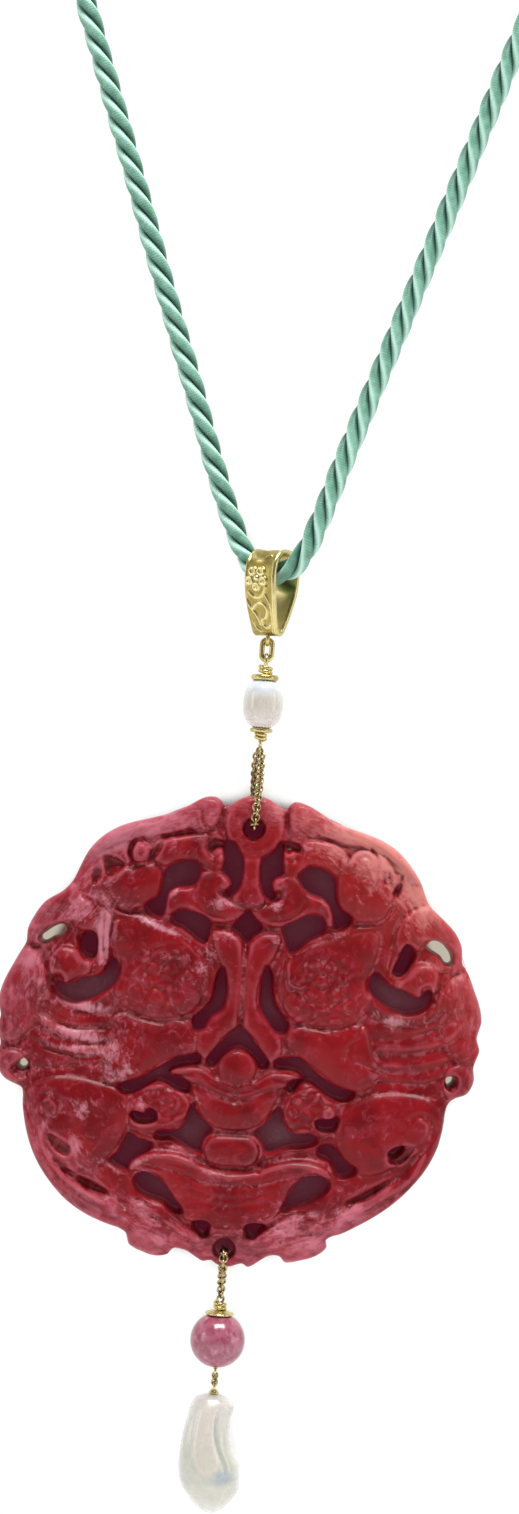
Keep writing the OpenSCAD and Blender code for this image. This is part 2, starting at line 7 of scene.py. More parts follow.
# %% Load the frame
import math

import bpy
import numpy as np
from mathutils import Matrix
from mathutils import geometry


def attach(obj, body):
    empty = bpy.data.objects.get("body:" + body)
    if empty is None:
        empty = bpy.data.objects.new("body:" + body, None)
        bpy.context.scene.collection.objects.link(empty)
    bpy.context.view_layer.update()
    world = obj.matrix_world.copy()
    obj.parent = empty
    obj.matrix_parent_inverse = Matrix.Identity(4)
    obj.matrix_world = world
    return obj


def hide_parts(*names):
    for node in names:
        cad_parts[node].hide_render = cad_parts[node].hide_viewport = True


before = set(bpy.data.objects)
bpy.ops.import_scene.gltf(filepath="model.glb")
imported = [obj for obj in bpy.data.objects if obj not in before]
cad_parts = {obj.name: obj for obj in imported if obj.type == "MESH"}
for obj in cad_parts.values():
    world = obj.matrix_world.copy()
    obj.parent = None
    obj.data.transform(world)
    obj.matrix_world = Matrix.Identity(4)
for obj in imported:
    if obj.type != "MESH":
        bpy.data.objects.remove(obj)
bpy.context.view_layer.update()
print("nodes:", ", ".join(sorted(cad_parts)))

# %% [markdown]
# All sizes below are millimetres. Heights are counted from the place where the chain carries the
# stone, because most pieces sit around it. One function turns such places into metres from the nape,
# and two more put the camera and the lights into the scene.

# %% Units and places
MM = 0.001
NAPE_DROP = 235.0  # from the nape down to the chain's seat in the stone's top hole


def placed(points):
    """Millimetres above the chain's seat become metres below the nape: lower by the drop, then scale."""
    return (np.asarray(points, float) - [0, 0, NAPE_DROP]) * MM


def in_scene(name, data):
    """A new object in the scene."""
    thing = bpy.data.objects.new(name, data)
    bpy.context.scene.collection.objects.link(thing)
    return thing


def set_up(thing, right, up, back, place):
    """Its right, up and backward axes are the three columns of its matrix, and its place the fourth."""
    columns = [[right[i], up[i], back[i], place[i]] for i in range(3)]
    thing.matrix_world = Matrix(columns + [[0, 0, 0, 1]])


print("the chain's seat is at", placed([[0, 0, 0]])[0], "m")

# %% [markdown]
# The pendant hangs a few degrees off the picture's upright, as if the hand that held the camera
# leaned. It was about an arm's length away, so the caps low down are seen a little from above.

# %% Camera
LEAN = math.radians(4.1)       # the camera's roll
VIEW_HEIGHT = 220.3            # what the picture's height covers
VIEW_CENTRE = (0.03, 9.92)     # x and height that the picture's middle looks at
CAMERA_DISTANCE = 450.0


def make_camera():
    """The lens is as long as makes the picture's height cover the view's height at the pendant."""
    data = bpy.data.cameras.new("camera")
    data.sensor_fit = "AUTO"
    data.lens = data.sensor_width * CAMERA_DISTANCE / VIEW_HEIGHT
    data.clip_start = 0.01
    data.clip_end = 20
    camera = in_scene("camera", data)
    place = placed([[VIEW_CENTRE[0], -CAMERA_DISTANCE, VIEW_CENTRE[1]]])[0]
    c, s = math.cos(LEAN), math.sin(LEAN)
    set_up(camera, (c, 0, s), (-s, 0, c), (0, -1, 0), place)
    bpy.context.scene.camera = camera
    print(f"lens {data.lens:.0f} mm from {CAMERA_DISTANCE / 1000:.1f} m")


make_camera()

# %% [markdown]
# The first helpers draw lines. One draws a smooth curve through a few places, one spaces it evenly, and
# one gives the two directions across it.

# %% Curves


def cubic(a, b, leave, arrive, parts):
    """From each place a to its place b runs the cubic that leaves and arrives along the two headings. It
    is cut into equal parts, and the last place is left out."""
    a, b, leave, arrive = (v[:, None] for v in (a, b, leave, arrive))
    t = np.linspace(0, 1, parts, endpoint=False)[None, :, None]
    curve = ((2 * t**3 - 3 * t**2 + 1) * a + (t**3 - 2 * t**2 + t) * leave
             + (3 * t**2 - 2 * t**3) * b + (t**3 - t**2) * arrive)
    return curve.reshape(-1, curve.shape[-1])


def smooth_line(points, per_gap):
    """The cubics through the places. A heading is the mean of the two stretches beside the place, the
    nearer stretch counting more."""
    p = np.asarray(points, float)
    step = np.diff(p, axis=0)
    length = np.linalg.norm(step, axis=1, keepdims=True)
    unit = step / length
    inner = (unit[:-1] * length[1:] + unit[1:] * length[:-1]) / (length[1:] + length[:-1])
    heading = np.vstack([unit[:1], inner, unit[-1:]])
    return np.vstack([cubic(p[:-1], p[1:], heading[:-1] * length, heading[1:] * length, per_gap), p[-1:]])


def smooth_loop(points, per_gap):
    """The same curve closed into a ring: it is drawn one place further at each end, and trimmed."""
    p = np.asarray(points, float)
    curve = smooth_line(np.vstack([p[-1:], p, p[:2]]), per_gap)
    return curve[per_gap:-per_gap - 1]


def even_line(line, step):
    """The same line with its points a fixed length apart."""
    along = np.concatenate([[0], np.cumsum(np.linalg.norm(np.diff(line, axis=0), axis=1))])
    count = max(2, int(round(along[-1] / step)) + 1)
    at = np.linspace(0, along[-1], count)
    return np.column_stack([np.interp(at, along, line[:, k]) for k in range(line.shape[1])]), at


def directions(line, across, closed=False):
    """Heading, side and second side at each point: the side is across with its part along the heading
    taken out, and the second side is square to both."""
    if closed:
        heading = np.roll(line, -1, axis=0) - np.roll(line, 1, axis=0)
    else:
        heading = np.gradient(line, axis=0)
    heading /= np.linalg.norm(heading, axis=1, keepdims=True)
    side = np.asarray(across, float) - heading * (heading @ np.asarray(across, float))[:, None]
    side /= np.linalg.norm(side, axis=1, keepdims=True)
    return heading, side, np.cross(heading, side)


# %% [markdown]
# The next helpers turn lines and grids of places into closed surfaces, and a surface into a piece with
# its finish and its body.

# %% Meshes from grids


def grid_faces(rows, cols, close_rows=False, close_cols=True):
    """Four corners for each cell of a grid of rows and columns, turned so that they face outwards when
    the columns go round the heading of the rows like a right-hand screw."""
    i = np.arange(rows if close_rows else rows - 1)[:, None]
    k = np.arange(cols if close_cols else cols - 1)[None, :]
    i2, k2 = (i + 1) % rows, (k + 1) % cols
    corners = [i * cols + k, i * cols + k2, i2 * cols + k2, i2 * cols + k]
    return np.stack(np.broadcast_arrays(*corners), -1).reshape(-1, 4)


def fan(centre, ring):
    """Triangles from one middle point to each pair of neighbours on a ring."""
    return np.column_stack([np.full(len(ring), centre), ring, np.roll(ring, -1)])


def skin(rings, ends=None):
    """One closed surface over rows of rings: a fan closes each end, or the last ring joins the first."""
    rows, cols = rings.shape[:2]
    points = rings.reshape(-1, 3)
    if ends is None:
        return points, [grid_faces(rows, cols, close_rows=True)]
    n, ring = rows * cols, np.arange(cols)
    faces = [grid_faces(rows, cols), fan(n, ring[::-1]), fan(n + 1, n - cols + ring)]
    return np.vstack([points, ends]), faces


def make_piece(name, points, faces, body, slot, material, uv=None, values=None, stands_for=()):
    """A mesh from whole arrays, in place and riding on its body. faces is a list of arrays of quads or
    triangles, uv has one pair for each corner of each face, and values has named numbers per point."""
    mesh = bpy.data.meshes.new(name)
    mesh.vertices.add(len(points))
    mesh.vertices.foreach_set("co", placed(points).ravel())
    corners = np.concatenate([f.ravel() for f in faces])
    sizes = np.concatenate([np.full(len(f), f.shape[1]) for f in faces])
    mesh.loops.add(len(corners))
    mesh.loops.foreach_set("vertex_index", corners.astype(np.int32))
    mesh.polygons.add(len(sizes))
    mesh.polygons.foreach_set("loop_start", np.concatenate([[0], np.cumsum(sizes)[:-1]]).astype(np.int32))
    mesh.polygons.foreach_set("use_smooth", np.ones(len(sizes), bool))
    mesh.update(calc_edges=True)
    if uv is not None:
        layer = mesh.uv_layers.new(name="UVMap")
        layer.data.foreach_set("uv", np.asarray(uv, np.float32).ravel())
    for key, numbers in (values or {}).items():
        mesh.attributes.new(key, "FLOAT", "POINT").data.foreach_set("value", numbers.astype(np.float32))
    mesh.validate()
    mesh.materials.append(material)
    piece = in_scene(name, mesh)
    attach(piece, body)
    if stands_for:
        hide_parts(*stands_for)
    print(f"{name}: {len(points)} points, {int((sizes - 2).sum())} triangles")
    return piece


def circles(line, radius, turn, u, v):
    """A ring round each point of a line: the line's point plus the radius times the cosine and sine of
    each turn along the two sides."""
    c, s = np.cos(turn)[..., None], np.sin(turn)[..., None]
    return line[:, None] + radius * (c * u[:, None] + s * v[:, None])


def tube(line, radius, sides, across, closed=False):
    """A round wire along a line, which is a loop or has a flat end at each side."""
    _, u, v = directions(line, across, closed)
    turn = np.linspace(0, 2 * np.pi, sides, endpoint=False)[None]
    return skin(circles(line, radius, turn, u, v), None if closed else line[[0, -1]])


def turned(profile, sides, closed=False):
    """Surface of revolution about the upright axis: each place of the profile, a radius and a height,
    goes round a circle. The profile runs upwards along the outside. It closes on itself, or else its two
    ends are poles on the axis."""
    profile = np.asarray(profile, float)
    turn = np.linspace(0, 2 * np.pi, sides, endpoint=False)
    r, z = (profile if closed else profile[1:-1]).T[:, :, None]
    rings = np.stack(np.broadcast_arrays(r * np.cos(turn), r * np.sin(turn), z), -1)
    return skin(rings, None if closed else [[0, 0, profile[i, 1]] for i in (0, -1)])


def joined(*parts):
    """Several pairs of points and faces as one, with the face numbers moved on."""
    starts = np.cumsum([0] + [len(points) for points, _ in parts])
    faces = [f + start for (_, part), start in zip(parts, starts) for f in part]
    return np.vstack([points for points, _ in parts]), faces


# %% [markdown]
# Materials are built from a few kinds of node. These helpers keep each material's own section short.
# Every pattern reads Object coordinates, the cord's own map, or a number stored on the points.

# %% Material helpers


class Finish:
    """One material with a Principled shader, and short ways to add the nodes that feed it."""

    def __init__(self, name, **sockets):
        self.material = bpy.data.materials.new(name)
        self.material.use_nodes = True
        self.nodes = self.material.node_tree.nodes
        self.links = self.material.node_tree.links
        self.shader = self.nodes["Principled BSDF"]
        for key, value in sockets.items():
            self.shader.inputs[key.replace("_", " ")].default_value = value

    def give(self, socket, value):
        """Links another node's output to a socket, or sets it to a number or a colour."""
        if isinstance(value, bpy.types.NodeSocket):
            self.links.new(value, socket)
        else:
            socket.default_value = value

    def add(self, kind, settings=None, values=(), **inputs):
        """A node with its settings. What its inputs are given comes in their order or by their names."""
        node = self.nodes.new(kind)
        for key, value in (settings or {}).items():
            setattr(node, key, value)
        for socket, value in zip(node.inputs, values):
            self.give(socket, value)
        for key, value in inputs.items():
            self.give(node.inputs[key.replace("_", " ")], value)
        return node

    def place(self):
        return self.add("ShaderNodeTexCoord").outputs["Object"]

    def noise(self, size, detail=3.0, distortion=0.0, roughness=0.5):
        """Cloudy noise whose blobs are about size millimetres wide."""
        return self.add("ShaderNodeTexNoise", Vector=self.place(), Scale=1 / (size * MM), Detail=detail,
                        Distortion=distortion, Roughness=roughness).outputs["Fac"]

    def number(self, name):
        """A number stored on the points."""
        return self.add("ShaderNodeAttribute", {"attribute_name": name}).outputs["Fac"]

    def map_range(self, value, low, high, to_low=0.0, to_high=1.0):
        """Slides softly from to_low to to_high while the value goes from low to high."""
        return self.add("ShaderNodeMapRange", {"interpolation_type": "SMOOTHSTEP"}, Value=value, From_Min=low,
                        From_Max=high, To_Min=to_low, To_Max=to_high).outputs["Result"]

    def math(self, operation, *values):
        return self.add("ShaderNodeMath", {"operation": operation}, values).outputs[0]

    def mix(self, share, a, b):
        """Colour a where the share is nought and b where it is one."""
        node = self.add("ShaderNodeMix", {"data_type": "RGBA"})
        sockets = {s.identifier: s for s in node.inputs}
        for key, value in (("Factor_Float", share), ("A_Color", a), ("B_Color", b)):
            self.give(sockets[key], value)
        return next(s for s in node.outputs if s.identifier == "Result_Color")

    def blend(self, value, low, high, a, b, most=1.0):
        """Colour a up to the low value, and from there more and more of b, up to its most at the high one."""
        return self.mix(self.map_range(value, low, high, 0.0, most), a, b)

    def feed(self, key, output):
        self.links.new(output, self.shader.inputs[key])

    def colour(self, output):
        self.feed("Base Color", output)

    def bump(self, height, depth, strength=1.0):
        """Makes the surface look raised by depth millimetres where the height is one."""
        self.feed("Normal", self.add("ShaderNodeBump", Height=height, Distance=depth * MM,
                                     Strength=strength).outputs["Normal"])


def rgb(red, green, blue):
    """A colour given as the 0 to 255 numbers of a screen, made linear."""
    value = np.array([red, green, blue]) / 255
    linear = np.where(value <= 0.04045, value / 12.92, ((value + 0.055) / 1.055) ** 2.4)
    return (*linear.tolist(), 1.0)


# %% [markdown]
# ## The cord
# The real cord is three strands of satin thread laid round each other. A single tube with a groove
# pattern would slide along it, so each point keeps its place on its strand while the strands wind:
# the edges of the mesh run along the grooves, and the outline shows them too. Its route repeats the
# tube of the frame: up from the bail on both sides, and round in a plain loop to the clasp.

# %% Cord: route and length
CORD_WIDTH = 3.2
CORD_ROUTE = [
    [-8.15, 0, 237.3], [-11, 0, 237.2], [-16, 0, 236.1], [-26, 0, 231.6], [-35.5, 0, 224.5],
    [-43.5, 0, 214], [-48.8, 0, 202], [-51, 0, 188.5], [-50, 0, 174], [-46.5, 0, 158.5], [-41.4, 0, 142],
    [-35.8, 0, 125.5], [-29.9, 0, 109], [-24, 0.2, 92.5], [-18.2, 0.8, 76], [-12.9, 1.9, 61.5],
    [-9, 3, 50.5], [-6.3, 3.5, 43.8], [-4.5, 3, 39.95], [-2.6, 1.8, 37.45], [0, 0, 36.55],
    [2.6, -1.8, 37.45], [4.5, -3, 39.95], [6.2, -3.5, 44.4], [8.8, -3, 52.5], [12.3, -1.9, 63],
    [17.2, -0.8, 77.5], [22.7, -0.2, 94], [28.3, 0, 111], [34, 0, 128], [39.8, 0, 145], [45.2, 0, 161],
    [48.9, 0, 175.5], [50, 0, 189.5], [47.8, 0, 203], [42.8, 0, 214.5], [35, 0, 224.5],
    [26, 0, 231.6], [16, 0, 236.1], [11, 0, 237.2], [8.15, 0, 237.3],
]
cord_line, cord_along = even_line(smooth_line(CORD_ROUTE, 12), 0.5)

# %% [markdown]
# Cut across, a laid cord is three round rods side by side. That section turns as it goes along the
# cord, once in each lay, so the surface is the section carried along the route and turned.

# %% Cord: three strands
LAY = 12.6            # length in which a strand goes once round
STRAND_POINTS = 21    # points across one strand
GROOVE_DEPTH = 0.52   # of the cord's radius
across_strand = np.linspace(-1, 1, STRAND_POINTS, endpoint=False)


def strand_profile():
    """Angle across one strand and the radius there as a share of the cord's. Three equal rods side by
    side reach 0.536 of the radius out and are 0.464 thick; their crowns are pressed flatter."""
    angle = np.pi / 3 * np.sin(across_strand * np.pi / 2)
    round_rod = 0.536 * np.cos(angle) + np.sqrt(np.clip(0.2155 - (0.536 * np.sin(angle)) ** 2, 0, None))
    return angle, 1 - GROOVE_DEPTH * ((1 - round_rod) / 0.732) ** 1.35


def strand_mesh():
    """Each strand turns back by one full angle for each lay of length, on a radius that breathes a little."""
    _, u, v = directions(cord_line, (0, 1, 0))
    angle, share = strand_profile()
    around = np.concatenate([angle + 2 * np.pi * j / 3 for j in range(3)])
    turn = around[None, :] - 2 * np.pi * cord_along[:, None] / LAY
    breath = 1 + 0.012 * np.sin(cord_along / 3.1) + 0.008 * np.sin(cord_along / 1.3 + 1)
    radius = CORD_WIDTH / 2 * 0.985 * np.tile(share, 3)[None, :] * breath[:, None]
    return skin(circles(cord_line, radius[..., None], turn, u, v), cord_line[[0, -1]])


def strand_map():
    """Map of the cord: across is the length in centimetres, and up counts the strands. The two ends have
    no threads."""
    rows, cols = len(cord_line), 3 * STRAND_POINTS
    i = np.repeat(np.arange(rows - 1), cols)
    k = np.tile(np.arange(cols), rows - 1)
    long, next_long = cord_along[i] / 10, cord_along[i + 1] / 10
    up, next_up = k / STRAND_POINTS, (k + 1) / STRAND_POINTS
    quads = np.stack([long, up, long, next_up, next_long, next_up, next_long, up], -1).reshape(-1, 2)
    return np.vstack([quads, np.zeros((2 * cols * 3, 2))])


cord_points, cord_faces = strand_mesh()
print(f"three strands, {len(cord_points)} points")

# %% [markdown]
# Each strand gets a painted highlight along its upper side and painted shade of a deep teal in the
# grooves. The threads cross each strand in fine lines, so the bump is a band pattern along the map.

# %% Cord: finish
MINT_PAINTED_HIGHLIGHT = rgb(196, 236, 220)
MINT_LIGHT = rgb(129, 181, 159)
MINT = rgb(93, 148, 125)
TEAL_PAINTED_SHADE = rgb(12, 66, 52)


def cord_finish():
    """Mint crowns with a painted highlight along each strand's upper side and painted teal shade in the
    grooves, a sheen, and the fine lines of the threads.
    """
    finish = Finish("satin_thread", Roughness=0.42, Sheen_Weight=0.12, Sheen_Roughness=0.3,
                    Sheen_Tint=rgb(225, 255, 245))
    shade = finish.number("shade")
    map_place = finish.add("ShaderNodeTexCoord").outputs["UV"]
    threads = finish.add("ShaderNodeTexWave", {"bands_direction": "X"}, Vector=map_place, Scale=8.5,
                         Distortion=1.6, Detail=2.0, Detail_Scale=3.0).outputs["Fac"]
    patches = finish.noise(1.5, detail=2)
    light = finish.math("MULTIPLY_ADD", threads, 0.18, patches)
    crown = finish.blend(light, 0.38, 0.8, MINT, MINT_LIGHT)
    # Painted highlight along the upper side of each strand, from the upper number.
    crown = finish.mix(finish.math("MULTIPLY", finish.number("upper"), 0.95), crown, MINT_PAINTED_HIGHLIGHT)
    finish.colour(finish.mix(shade, crown, TEAL_PAINTED_SHADE))
    finish.bump(threads, 0.05, 0.45)
    return finish.material


# Painted shade in the grooves, by each strand's upper edge and over its under side, and a painted highlight
# along its upper side.
upper_edge = np.clip((-across_strand - 0.7) / 0.2, 0, 1)
under_side = np.clip((across_strand - 0.05) / 0.55, 0, 1)
shade = np.maximum(upper_edge, under_side ** 1.5) * 0.95
painted_highlight = np.exp(-((across_strand + 0.36) / 0.2) ** 2)
shade, painted_highlight = [np.append(np.tile(row, 3 * len(cord_line)), [0, 0]) for row in (shade, painted_highlight)]
cord = make_piece("twisted_cord", cord_points, cord_faces, "necklace", "cord", cord_finish(),
                  uv=strand_map(), values={"shade": shade, "upper": painted_highlight}, stands_for=["cord"])

# %% [markdown]
# ## Gold
# The metal is a pale, bright gold plate. Cast pieces have a slightly uneven polish, drawn wire is
# smoother, and the embossed bail is duller in its hollows, with painted shade on its low ground and
# painted highlights on its raised lines, so there are three finishes.

# %% Gold finishes
GOLD_PAINTED_HIGHLIGHT = rgb(230, 218, 164)
GOLD_LIGHT = rgb(222, 208, 152)
GOLD = rgb(204, 187, 119)
GOLD_PAINTED_SHADE = rgb(150, 130, 60)
LINK_PAINTED_SHADE = rgb(84, 66, 36)
WIRE_GOLD = rgb(180, 160, 96)
WIRE_LIGHT = rgb(216, 198, 136)
CHAMPAGNE = rgb(160, 140, 92)
CHAMPAGNE_LIGHT = rgb(204, 187, 138)


def gold_finish(name, roughness, wear, dark, light):
    """Cloudy between the dark and the light tone, with painted shade inside the links, and duller in spots.
    """
    finish = Finish(name, Metallic=1.0)
    metal = finish.blend(finish.noise(1.6, detail=4), 0.3, 0.7, dark, light)
    # Painted shade inside the links, from the inner number.
    finish.colour(finish.blend(finish.number("inner"), 0.4, 0.9, metal, LINK_PAINTED_SHADE, 0.85))
    fine = finish.noise(0.35, detail=3)
    finish.feed("Roughness", finish.map_range(fine, 0.3, 0.7, roughness, roughness + wear))
    finish.bump(finish.noise(0.7, detail=2), 0.012, 0.3)
    return finish.material


def embossed_finish():
    """Gold with painted shade on the low ground and painted highlights on the raised lines and on the strip's
    inner side and edges, duller in the hollows, from the height stored on the points.
    """
    finish = Finish("embossed_gold", Metallic=1.0)
    relief = finish.number("relief")
    metal = finish.blend(finish.noise(1.2, detail=3), 0.3, 0.7, WIRE_GOLD, GOLD)
    # Painted shade on the low ground, and below it painted highlights on the raised lines.
    metal = finish.mix(finish.map_range(relief, 0.0, 0.1, 0.6, 0.0), metal, GOLD_PAINTED_SHADE)
    finish.colour(finish.blend(relief, 0.1, 0.24, metal, GOLD_PAINTED_HIGHLIGHT, 0.7))
    finish.feed("Roughness", finish.map_range(relief, 0.0, 0.2, 0.38, 0.25))
    finish.bump(finish.noise(0.7, detail=2), 0.02, 0.3)
    return finish.material


cast_gold = gold_finish("cast_gold", 0.24, 0.12, WIRE_GOLD, GOLD_LIGHT)
wire_gold = gold_finish("wire_gold", 0.2, 0.1, WIRE_GOLD, WIRE_LIGHT)
bail_gold = embossed_finish()
print("gold finishes:", cast_gold.name, wire_gold.name, bail_gold.name)

# %% [markdown]
# ## Relief
# The bail is embossed and the stone is carved, and both reliefs are drawn the same way. A form is a
# closed outline that rises from its edge like a pillow, a ridge or a groove is a line with a width,
# and a pocket is an outline that sinks with steep walls. Each is worked out only near its own lines.

# %% Relief helpers


def foot_on(px, pz, x0, z0, x1, z1):
    """The point of a stretch that lies nearest to each place. The place's share along the stretch is kept
    between nought and one."""
    dx, dz = x1 - x0, z1 - z0
    share = np.clip(((px - x0) * dx + (pz - z0) * dz) / max(dx * dx + dz * dz, 1e-12), 0, 1)
    return x0 + share * dx, z0 + share * dz


def nearest_on(px, pz, line):
    """Distance from each place to the nearest stretch of a line, and the point there."""
    best = np.full(px.shape, np.inf)
    foot_x, foot_z = np.zeros_like(px), np.zeros_like(pz)
    for start, end in zip(line[:-1], line[1:]):
        fx, fz = foot_on(px, pz, *start, *end)
        gap = (px - fx) ** 2 + (pz - fz) ** 2
        near = gap < best
        best = np.where(near, gap, best)
        foot_x, foot_z = np.where(near, fx, foot_x), np.where(near, fz, foot_z)
    return np.sqrt(best), foot_x, foot_z


def inside_of(px, pz, line):
    """True where a ray to the right crosses the closed line an odd number of times."""
    odd = np.zeros(px.shape, bool)
    for (x0, z0), (x1, z1) in zip(line[:-1], line[1:]):
        if z0 != z1:
            odd ^= ((z0 > pz) != (z1 > pz)) & (px < x0 + (pz - z0) * (x1 - x0) / (z1 - z0))
    return odd


def closed_line(outline):
    """A smooth ring through an outline's places, with its first point repeated at the end."""
    ring = smooth_loop(outline, 3)
    return np.vstack([ring, ring[:1]])


def near_box(px, pz, line, margin):
    """The places within a margin of a line's own box, as a mask."""
    low, high = line.min(0) - margin, line.max(0) + margin
    return (px > low[0]) & (px < high[0]) & (pz > low[1]) & (pz < high[1])


def depth_inside(px, pz, line):
    """Distance inwards from a closed line, and nought outside it."""
    inner = np.zeros(px.shape)
    mask = near_box(px, pz, line, 0.1)
    x, z = px[mask], pz[mask]
    inner[mask] = np.where(inside_of(x, z, line), nearest_on(x, z, line)[0], 0)
    return inner


def pillow(depth, soft):
    """Quarter-round rise from nought at the edge to one at the depth soft."""
    t = np.clip(depth / soft, 0, 1)
    return np.sqrt(1 - (1 - t) ** 2)


def stroke(px, pz, points, width):
    """A bell across a smooth line: one on the line, and about a third at half the width."""
    line = smooth_line(points, 6)
    height = np.zeros(px.shape)
    mask = near_box(px, pz, line, 2 * width)
    distance = nearest_on(px[mask], pz[mask], line)[0]
    height[mask] = np.exp(-(2 * distance / width) ** 2)
    return height


# %% [markdown]
# ## The bail
# A strip of gold bent into a teardrop, open to the side, with a raised line along each edge and an
# embossed flower over a scroll. The strip is one closed surface: a section is carried round the
# teardrop, and its outer side is lifted by the relief. The wire eye is soldered under the tip.

# %% Bail: the teardrop
BAIL_WIDTH = 5.4
BAIL_THICKNESS = 0.7
BAIL_TURN = math.radians(35)   # how far it is turned to one side
BAIL_EDGE = 0.22      # radius of the strip's rounded edges
OUTER_POINTS = 59     # across the strip's outer side


def teardrop():
    """Points and outward directions round a closed egg with a narrow foot, evenly spaced from the foot
    up the back, over the top and down the front. Outwards is the heading turned by a right angle."""
    half = [(0, 27.5), (0.75, 27.85), (1.5, 29.2), (2.35, 31.5), (3.0, 33.9), (3.3, 36.2), (2.9, 38.4),
            (1.6, 39.8)]
    ring = smooth_loop(half + [(0, 40.1)] + [(-y, z) for y, z in half[:0:-1]], 24)
    ring, along = even_line(np.vstack([ring, ring[:1]]), 0.1)
    ring, along = ring[:-1], along[:-1]
    heading = np.roll(ring, -1, axis=0) - np.roll(ring, 1, axis=0)
    heading /= np.linalg.norm(heading, axis=1, keepdims=True)
    return ring, np.column_stack([heading[:, 1], -heading[:, 0]]), along


bail_ring, bail_out, bail_along = teardrop()
print(f"{len(bail_ring)} stations round the teardrop, {bail_along[-1]:.1f} mm in all")

# %% [markdown]
# The relief is drawn flat: across the strip, and down its front from the crown's top. The flower has
# five dimpled petals round a bead, a lip lies under it, and an arch with a scroll fills the point.

# %% Bail: the relief
WIRE = 0.6            # thickness of the eye's and the pins' wire
WIRE_SIDES = 14       # places round that wire
FLOWER_AT = (-0.6, 6.3)
PETAL_REACH = 1.25
BAIL_STROKES = [
    # height, width, line across and down
    (0.22, 0.70, [(2.4, -2), (2.4, 4), (2.35, 9), (2.3, 14.5)]),
    (0.18, 0.50, [(0.9, 8.8), (1.6, 10), (1.9, 12), (1.8, 14.5)]),
    (0.20, 0.60, [(-2.5, -2), (-2.5, 4), (-2.5, 9.0)]),
    (0.20, 0.65, [(-2.0, 8.4), (-0.8, 9.2), (0.5, 8.6), (1.0, 7.6)]),
    (0.22, 0.60, [(-2.7, 9.4), (-1.9, 10.7), (-1.0, 11.9), (-0.5, 13.2)]),
    (0.22, 0.60, [(-1.6, 10.8), (-0.5, 10.0), (0.6, 10.2), (1.1, 11.2), (0.7, 12.2)]),
    (0.22, 0.55, [(0.7, 12.2), (-0.1, 12.5), (0.1, 13.3), (0.9, 13.7), (1.5, 13.2)]),
    (0.18, 0.50, [(-2.0, 12.8), (-1.5, 13.7), (-0.6, 14.3)]),
    (0.18, 0.55, [(-2.0, 2.5), (-1.2, 3.4), (0.0, 3.5), (1.2, 2.7)]),
    (0.14, 0.60, [(-1.5, 0.8), (-0.2, 1.6), (1.2, 0.9)]),
    (0.14, 0.60, [(-1.6, -1.2), (-0.2, -0.4), (1.4, -1.1)]),
]


def bail_relief(across, down):
    """Height over the plain strip, from the flower's rings and bead and the strokes above."""
    height = np.zeros(across.shape)
    for lift, width, line in BAIL_STROKES:
        height = np.maximum(height, lift * stroke(across, down, line, width))
    for petal in range(5):
        angle = 2 * np.pi * petal / 5 - np.pi / 2
        x = FLOWER_AT[0] + PETAL_REACH * math.cos(angle)
        y = FLOWER_AT[1] - PETAL_REACH * math.sin(angle)
        reach = np.hypot(across - x, down - y)
        dome = 0.26 * np.exp(-(reach / 0.76) ** 8) - 0.15 * np.exp(-(reach / 0.38) ** 2)
        height = np.maximum(height, dome)
    bead = np.hypot(across - FLOWER_AT[0], down - FLOWER_AT[1])
    height = height * (1 - 0.8 * np.exp(-(bead / 0.62) ** 8))
    return np.maximum(height, 0.36 * np.exp(-(bead / 0.44) ** 4))


def bail_mesh():
    """The section is a flat oval with the outer side on top: its half width falls off at the corners,
    and the relief fades out there. Each station's section stands on the ring's outward direction, and the
    strip narrows towards its foot."""
    half = BAIL_WIDTH / 2
    corner = np.linspace(0, np.pi, 7)[1:-1]
    side = half - BAIL_EDGE + BAIL_EDGE * np.sin(corner)
    outer = np.linspace(-1, 1, OUTER_POINTS) * (half - BAIL_EDGE)
    back = outer[::-3]
    across = np.concatenate([outer, side, back, -side])
    rise = BAIL_THICKNESS * np.concatenate([0 * outer, (np.cos(corner) - 1) / 2, 0 * back - 1,
                                            (-np.cos(corner) - 1) / 2])
    is_outer = (np.arange(len(across)) < OUTER_POINTS).astype(float)
    top = np.argmax(bail_ring[:, 1])
    down = (bail_along - bail_along[top])[:, None] * np.ones_like(across)
    wide = np.ones((len(bail_ring), 1)) * across
    relief = bail_relief(wide, down) * is_outer * np.clip((half - np.abs(wide)) / 0.3, 0, 1)
    out = rise[None] + relief - 0.1 * is_outer
    y = bail_ring[:, 0:1] + out * bail_out[:, 0:1]
    z = bail_ring[:, 1:2] + out * bail_out[:, 1:2]
    wide = wide * (1 - 0.2 * np.clip((33.5 - bail_ring[:, 1:2]) / 6, 0, 1))
    turn_x, turn_y = math.cos(BAIL_TURN), -math.sin(BAIL_TURN)
    rings = np.stack([wide * turn_x - y * turn_y, wide * turn_y + y * turn_x, z], -1)
    # The strip's inner side and edges get 0.175 more, which the finish paints as a highlight.
    return *skin(rings), (relief + 0.175 * (1 - is_outer)).ravel()


def wire_ring(height, radius, wire):
    """A ring of round wire that stands upright and edge-on to the viewer, round a height on the axis."""
    angle = np.linspace(0, 2 * np.pi, 40, endpoint=False)
    line = np.column_stack([0 * angle, -radius * np.cos(angle), height - radius * np.sin(angle)])
    return tube(line, wire / 2, WIRE_SIDES, (1, 0, 0), closed=True)


*strip, strip_relief = bail_mesh()
eye = wire_ring(27.1, 0.8, WIRE)
relief = np.append(strip_relief, np.full(len(eye[0]), 0.1))
make_piece("flower_bail", *joined(strip, eye), "necklace", "gold", bail_gold, values={"relief": relief},
           stands_for=["bail"])

# %% [markdown]
# ## Wire link and pins
# Jewellery wire is drawn round and bent round a nose of pliers. The link is an oval of thick wire, and
# each pin ends in a loop whose tail is wrapped twice round the stem, which is why the turns slant.

